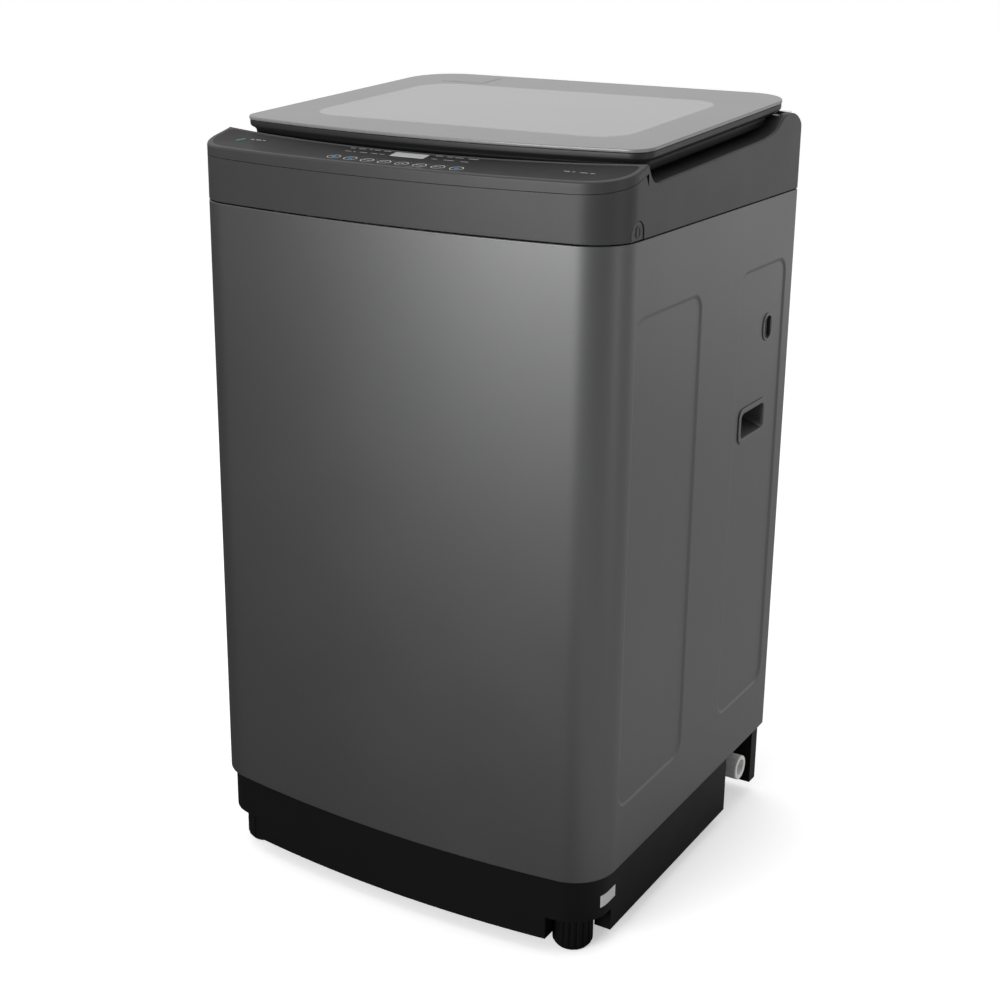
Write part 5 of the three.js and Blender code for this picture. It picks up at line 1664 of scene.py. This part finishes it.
def basket():
    """Stainless basket with drain holes, flutes, a rolled floor edge and a rolled rim."""
    low, high = node_box("wash_basket")
    bottom, top = low[2], high[2]
    columns, rows = 36, 15
    hole_radius = 2.4
    outer = BASKET_RADIUS - 0.4
    wall_low, wall_high = bottom + 26, top - 6
    segments, levels = columns * 4, 30
    girth = 2 * math.pi * BASKET_RADIUS
    pitch, row_pitch = girth / columns, (wall_high - wall_low - 52) / (rows - 1)
    first_row = wall_low + 26
    eighths = [math.pi * k / 4 for k in range(8)]

    def hole(i, k):
        """Outline of one drain hole, unrolled."""
        s, z = (i + 0.5) * pitch, first_row + k * row_pitch
        return [(s + hole_radius * math.cos(a), z + hole_radius * math.sin(a)) for a in eighths]

    def hole_gap(s, z):
        """How far a place is from the middle of the nearest drain hole."""
        centre_s = (math.floor(s / pitch) + 0.5) * pitch
        k = min(max(round((z - first_row) / row_pitch), 0), rows - 1)
        return math.hypot(s - centre_s, z - first_row - k * row_pitch)

    def place(s, z):
        """Rolls the wall up, with an upright flute between the columns of holes."""
        fade = smoothstep((z - wall_low) / 18) * smoothstep((wall_high - z) / 18)
        radius = outer - 2.2 * fade * (0.5 - 0.5 * math.cos(2 * math.pi * s / pitch)) ** 2
        angle = 2 * math.pi * s / girth
        return radius * math.cos(angle), TUB_Y + radius * math.sin(angle), z

    edge = [k * girth / segments for k in range(segments + 1)]
    heights = [mix(wall_low, wall_high, k / levels) for k in range(levels + 1)]
    paths = [([(s, z) for s in edge], False) for z in (wall_low, wall_high)]
    paths += [([(s, z) for z in heights], False) for s in (0, girth)]
    paths += [(hole(i, k), True) for i in range(columns) for k in range(rows)]
    free = [(s, z) for s in edge[1:-1] for z in heights[1:-1] if hole_gap(s, z) > hole_radius + 0.8]
    bm = bmesh.new()
    fill(bm, paths, free, lambda s, z: hole_gap(s, z) > hole_radius * 0.9, place)
    floor = [(60, 0.5), (199, 0.5), (206, 2), (211, 6), (214.6, 12), (outer, 19), (outer, 26)]
    rim = [(outer, -6), (outer, -1.2), (outer - 0.6, -0.4), (outer - 2.4, -0.2)]
    loft(bm, [circle(radius, bottom + rise) for radius, rise in floor])
    loft(bm, [circle(radius, top + rise) for radius, rise in rim])
    piece("perforated_basket", bm, "basket", "stainless", ["wash_basket"], thickness=0.8)


def balance_moulding():
    """Ring on top of the basket, which holds the balancing liquid."""
    low, high = node_box("balance_ring")
    inner, outer = 182, high[0] - 0.4
    z0, z1 = low[2], high[2]
    profile = [(inner + 6, z0 + 4), (inner + 14, z0), (outer, z0), (outer, z1 - 4), (outer - 6, z1)]
    profile += [(outer - 12, z1), (outer - 13, z1 - 1.2), (outer - 15, z1 - 1.2), (outer - 16, z1 - 0.4)]
    profile += [(inner + 8, z1 - 2), (inner, z1 - 12), (inner, z0 + 16)]
    bm = bmesh.new()
    turned(bm, softened(profile, 3, 4), TUB_AXIS, 144, loop=True)
    piece("balance_ring_moulding", bm, "basket", "grey_plastic", ["balance_ring"])


def splash_ring():
    """Cover on the tub's rim that keeps the water in."""
    top = node_box("tub_cover")[1][2]
    profile = [(178.4, top - 2), (182, top - 10), (196, top - 16), (233, top - 18), (239.4, 800.4)]
    profile += [(242.4, 800.4), (240.4, top - 14), (194, top - 12), (185, top - 7), (181.5, top - 0.2)]
    bm = bmesh.new()
    turned(bm, softened(profile, 1.6, 3), TUB_AXIS, 144, loop=True)
    piece("splash_ring", bm, "root", "white_plastic", ["tub_cover"])


def pulsator_disc():
    """Dished disc with six curved vanes, a rounded rim and a cap in the middle."""
    low, high = node_box("pulsator")
    z0, z1 = low[2] + 5, high[2]
    spokes, hoops = 240, 56
    rings = []
    for k in range(hoops + 1):
        r = mix(PULSATOR_RADIUS - 2, 16, k / hoops)
        fade = smoothstep((r - 24) / 26) * smoothstep((PULSATOR_RADIUS - 8 - r) / 26)
        dish = mix(z0 + 12, z0 + 31, smoothstep((1 - r / PULSATOR_RADIUS) * 1.25) ** 1.6)
        ring = []
        for i in range(spokes):
            angle = 2 * math.pi * i / spokes
            swirl = angle + 0.35 * math.sin(math.pi * r / PULSATOR_RADIUS)
            vane = max(math.cos(6 * swirl), 0.0) ** 6 * fade
            ring.append((r * math.cos(angle), TUB_Y + r * math.sin(angle), dish + 13 * vane))
        rings.append(ring)
    under = [(14, z0 + 0.2), (PULSATOR_RADIUS - 6, z0 + 2.2), (PULSATOR_RADIUS - 1, z0 + 5)]
    under += [(PULSATOR_RADIUS, z0 + 8), (PULSATOR_RADIUS - 0.4, z0 + 10.6)]
    cap = [(15.6, z1 - 8), (14.6, z1 - 3), (11, z1 - 1), (5, z1 - 0.2), (0.5, z1 - 0.1)]
    below = [circle(radius, z, spokes) for radius, z in under]
    above = [circle(radius, z, spokes) for radius, z in cap]
    bm = bmesh.new()
    loft(bm, below + rings + above, low_cap=True, high_cap=True)
    piece("pulsator_disc", bm, "agitator", "grey_plastic", ["pulsator"])


def lint_cassette():
    """Lint filter: a frame with thin bars both ways across its window."""
    low, high = node_box("lint_filter")
    x1, y0, y1, z0, z1 = high[0], low[1], high[1], low[2], high[2]
    frame_shape = (0, (z0 + z1) / 2, x1, (z1 - z0) / 2, 8)
    window = (0, (z0 + z1) / 2, x1 - 8, (z1 - z0) / 2 - 9, 5)
    outside = [(0, y1), (0, y0 + 2), (-0.6, y0 + 0.6), (-2, y0)]
    inside = [(1.5, y0), (0.4, y0 + 0.5), (0, y0 + 1.6), (0, y1)]
    rings = [upright(frame_shape, grow, y) for grow, y in outside]
    rings += [upright(window, grow, y) for grow, y in inside]
    bm = bmesh.new()
    loft(bm, rings, loop=True)

    def bar(radius, length, centre, axis):
        turned(bm, [(0, 0), (radius, 0), (radius, length), (0, length)], centre, 10, axis)

    for k in range(-5, 6):
        bar(0.8, z1 - z0 - 16, (k * 6.2, y0 + 2.4, z0 + 8), "Z")
    for k in range(-4, 5):
        bar(0.7, 2 * x1 - 14, (-x1 + 7, y0 + 3.2, (z0 + z1) / 2 + k * 11.5), "X")
    piece("lint_cassette", bm, "basket", "grey_plastic", ["lint_filter"])


def drive():
    """Finely turned drive parts under the tub."""
    hub = [(14.6, 152.2), (19.8, 152.2), (19.8, 268.2), (51.6, 268.2), (57.8, 274)]
    hub += [(109.8, 280), (109.8, 287.3), (14.6, 287.3)]
    gearbox = [(21.2, 176.2), (50, 176.2), (65.8, 186), (65.8, 226), (96, 236.2)]
    gearbox += [(109.6, 250), (109.6, 261.2), (21.2, 261.2)]
    shaft = [(0, 153.2), (8.8, 153.2), (8.8, 200), (12.6, 204), (12.6, 312), (11, 317), (0, 317)]
    top = node_box("motor_pulley")[1][2] - 0.2
    motor_x, motor_y, _ = node_middle("motor_pulley")
    motor_axis = (motor_x, motor_y, 0)
    small = [(0, 128.2), (34.2, 128.2), (28.8, 134), (28.8, 142), (34.2, 147.8), (7, 150)]
    small += [(7, top), (0, top)]
    for name, body, slot, node, profile, place, closed in (
        ("spin_hub", "basket", "cast_aluminium", "basket_hub", hub, TUB_AXIS, True),
        ("reduction_case", "root", "cast_aluminium", "gearbox", gearbox, TUB_AXIS, True),
        ("pulsator_shaft", "agitator", "stainless", "wash_shaft", shaft, TUB_AXIS, False),
        ("belt_pulley_small", "rotor", "cast_aluminium", "motor_pulley", small, motor_axis, False),
    ):
        bm = bmesh.new()
        turned(bm, softened(profile, 1.4, 3, closed), place, 80, loop=closed)
        piece(name, bm, body, slot, [node])


def dress_cad_nodes():
    """Gives every CAD node that still shows its node material."""
    for part in frame["record"]["subparts"]:
        node = frame["nodes"][part["node"]]
        for holder in node.material_slots:
            holder.material = MATERIALS[part["material_slot"]]


add_camera()
add_studio()
add_floor()
cabinet_skin()
side_grips()
side_slots()
rear_sheet()
rear_screws()
cord_gland()
base_moulding()
front_feet()
rear_feet()
drain_stub()
base_label()
cover_shell()
screw_caps()
panel_moulding()
film_sheet()
soft_keys()
panel_print()
display_lens()
lid_pane()
lid_film()
lid_band()
lid_skirt()
lid_liner()
lid_lugs()
hinge_rod()
water_inlets()
detergent_tray()
basket()
balance_moulding()
splash_ring()
pulsator_disc()
lint_cassette()
drive()
dress_cad_nodes()
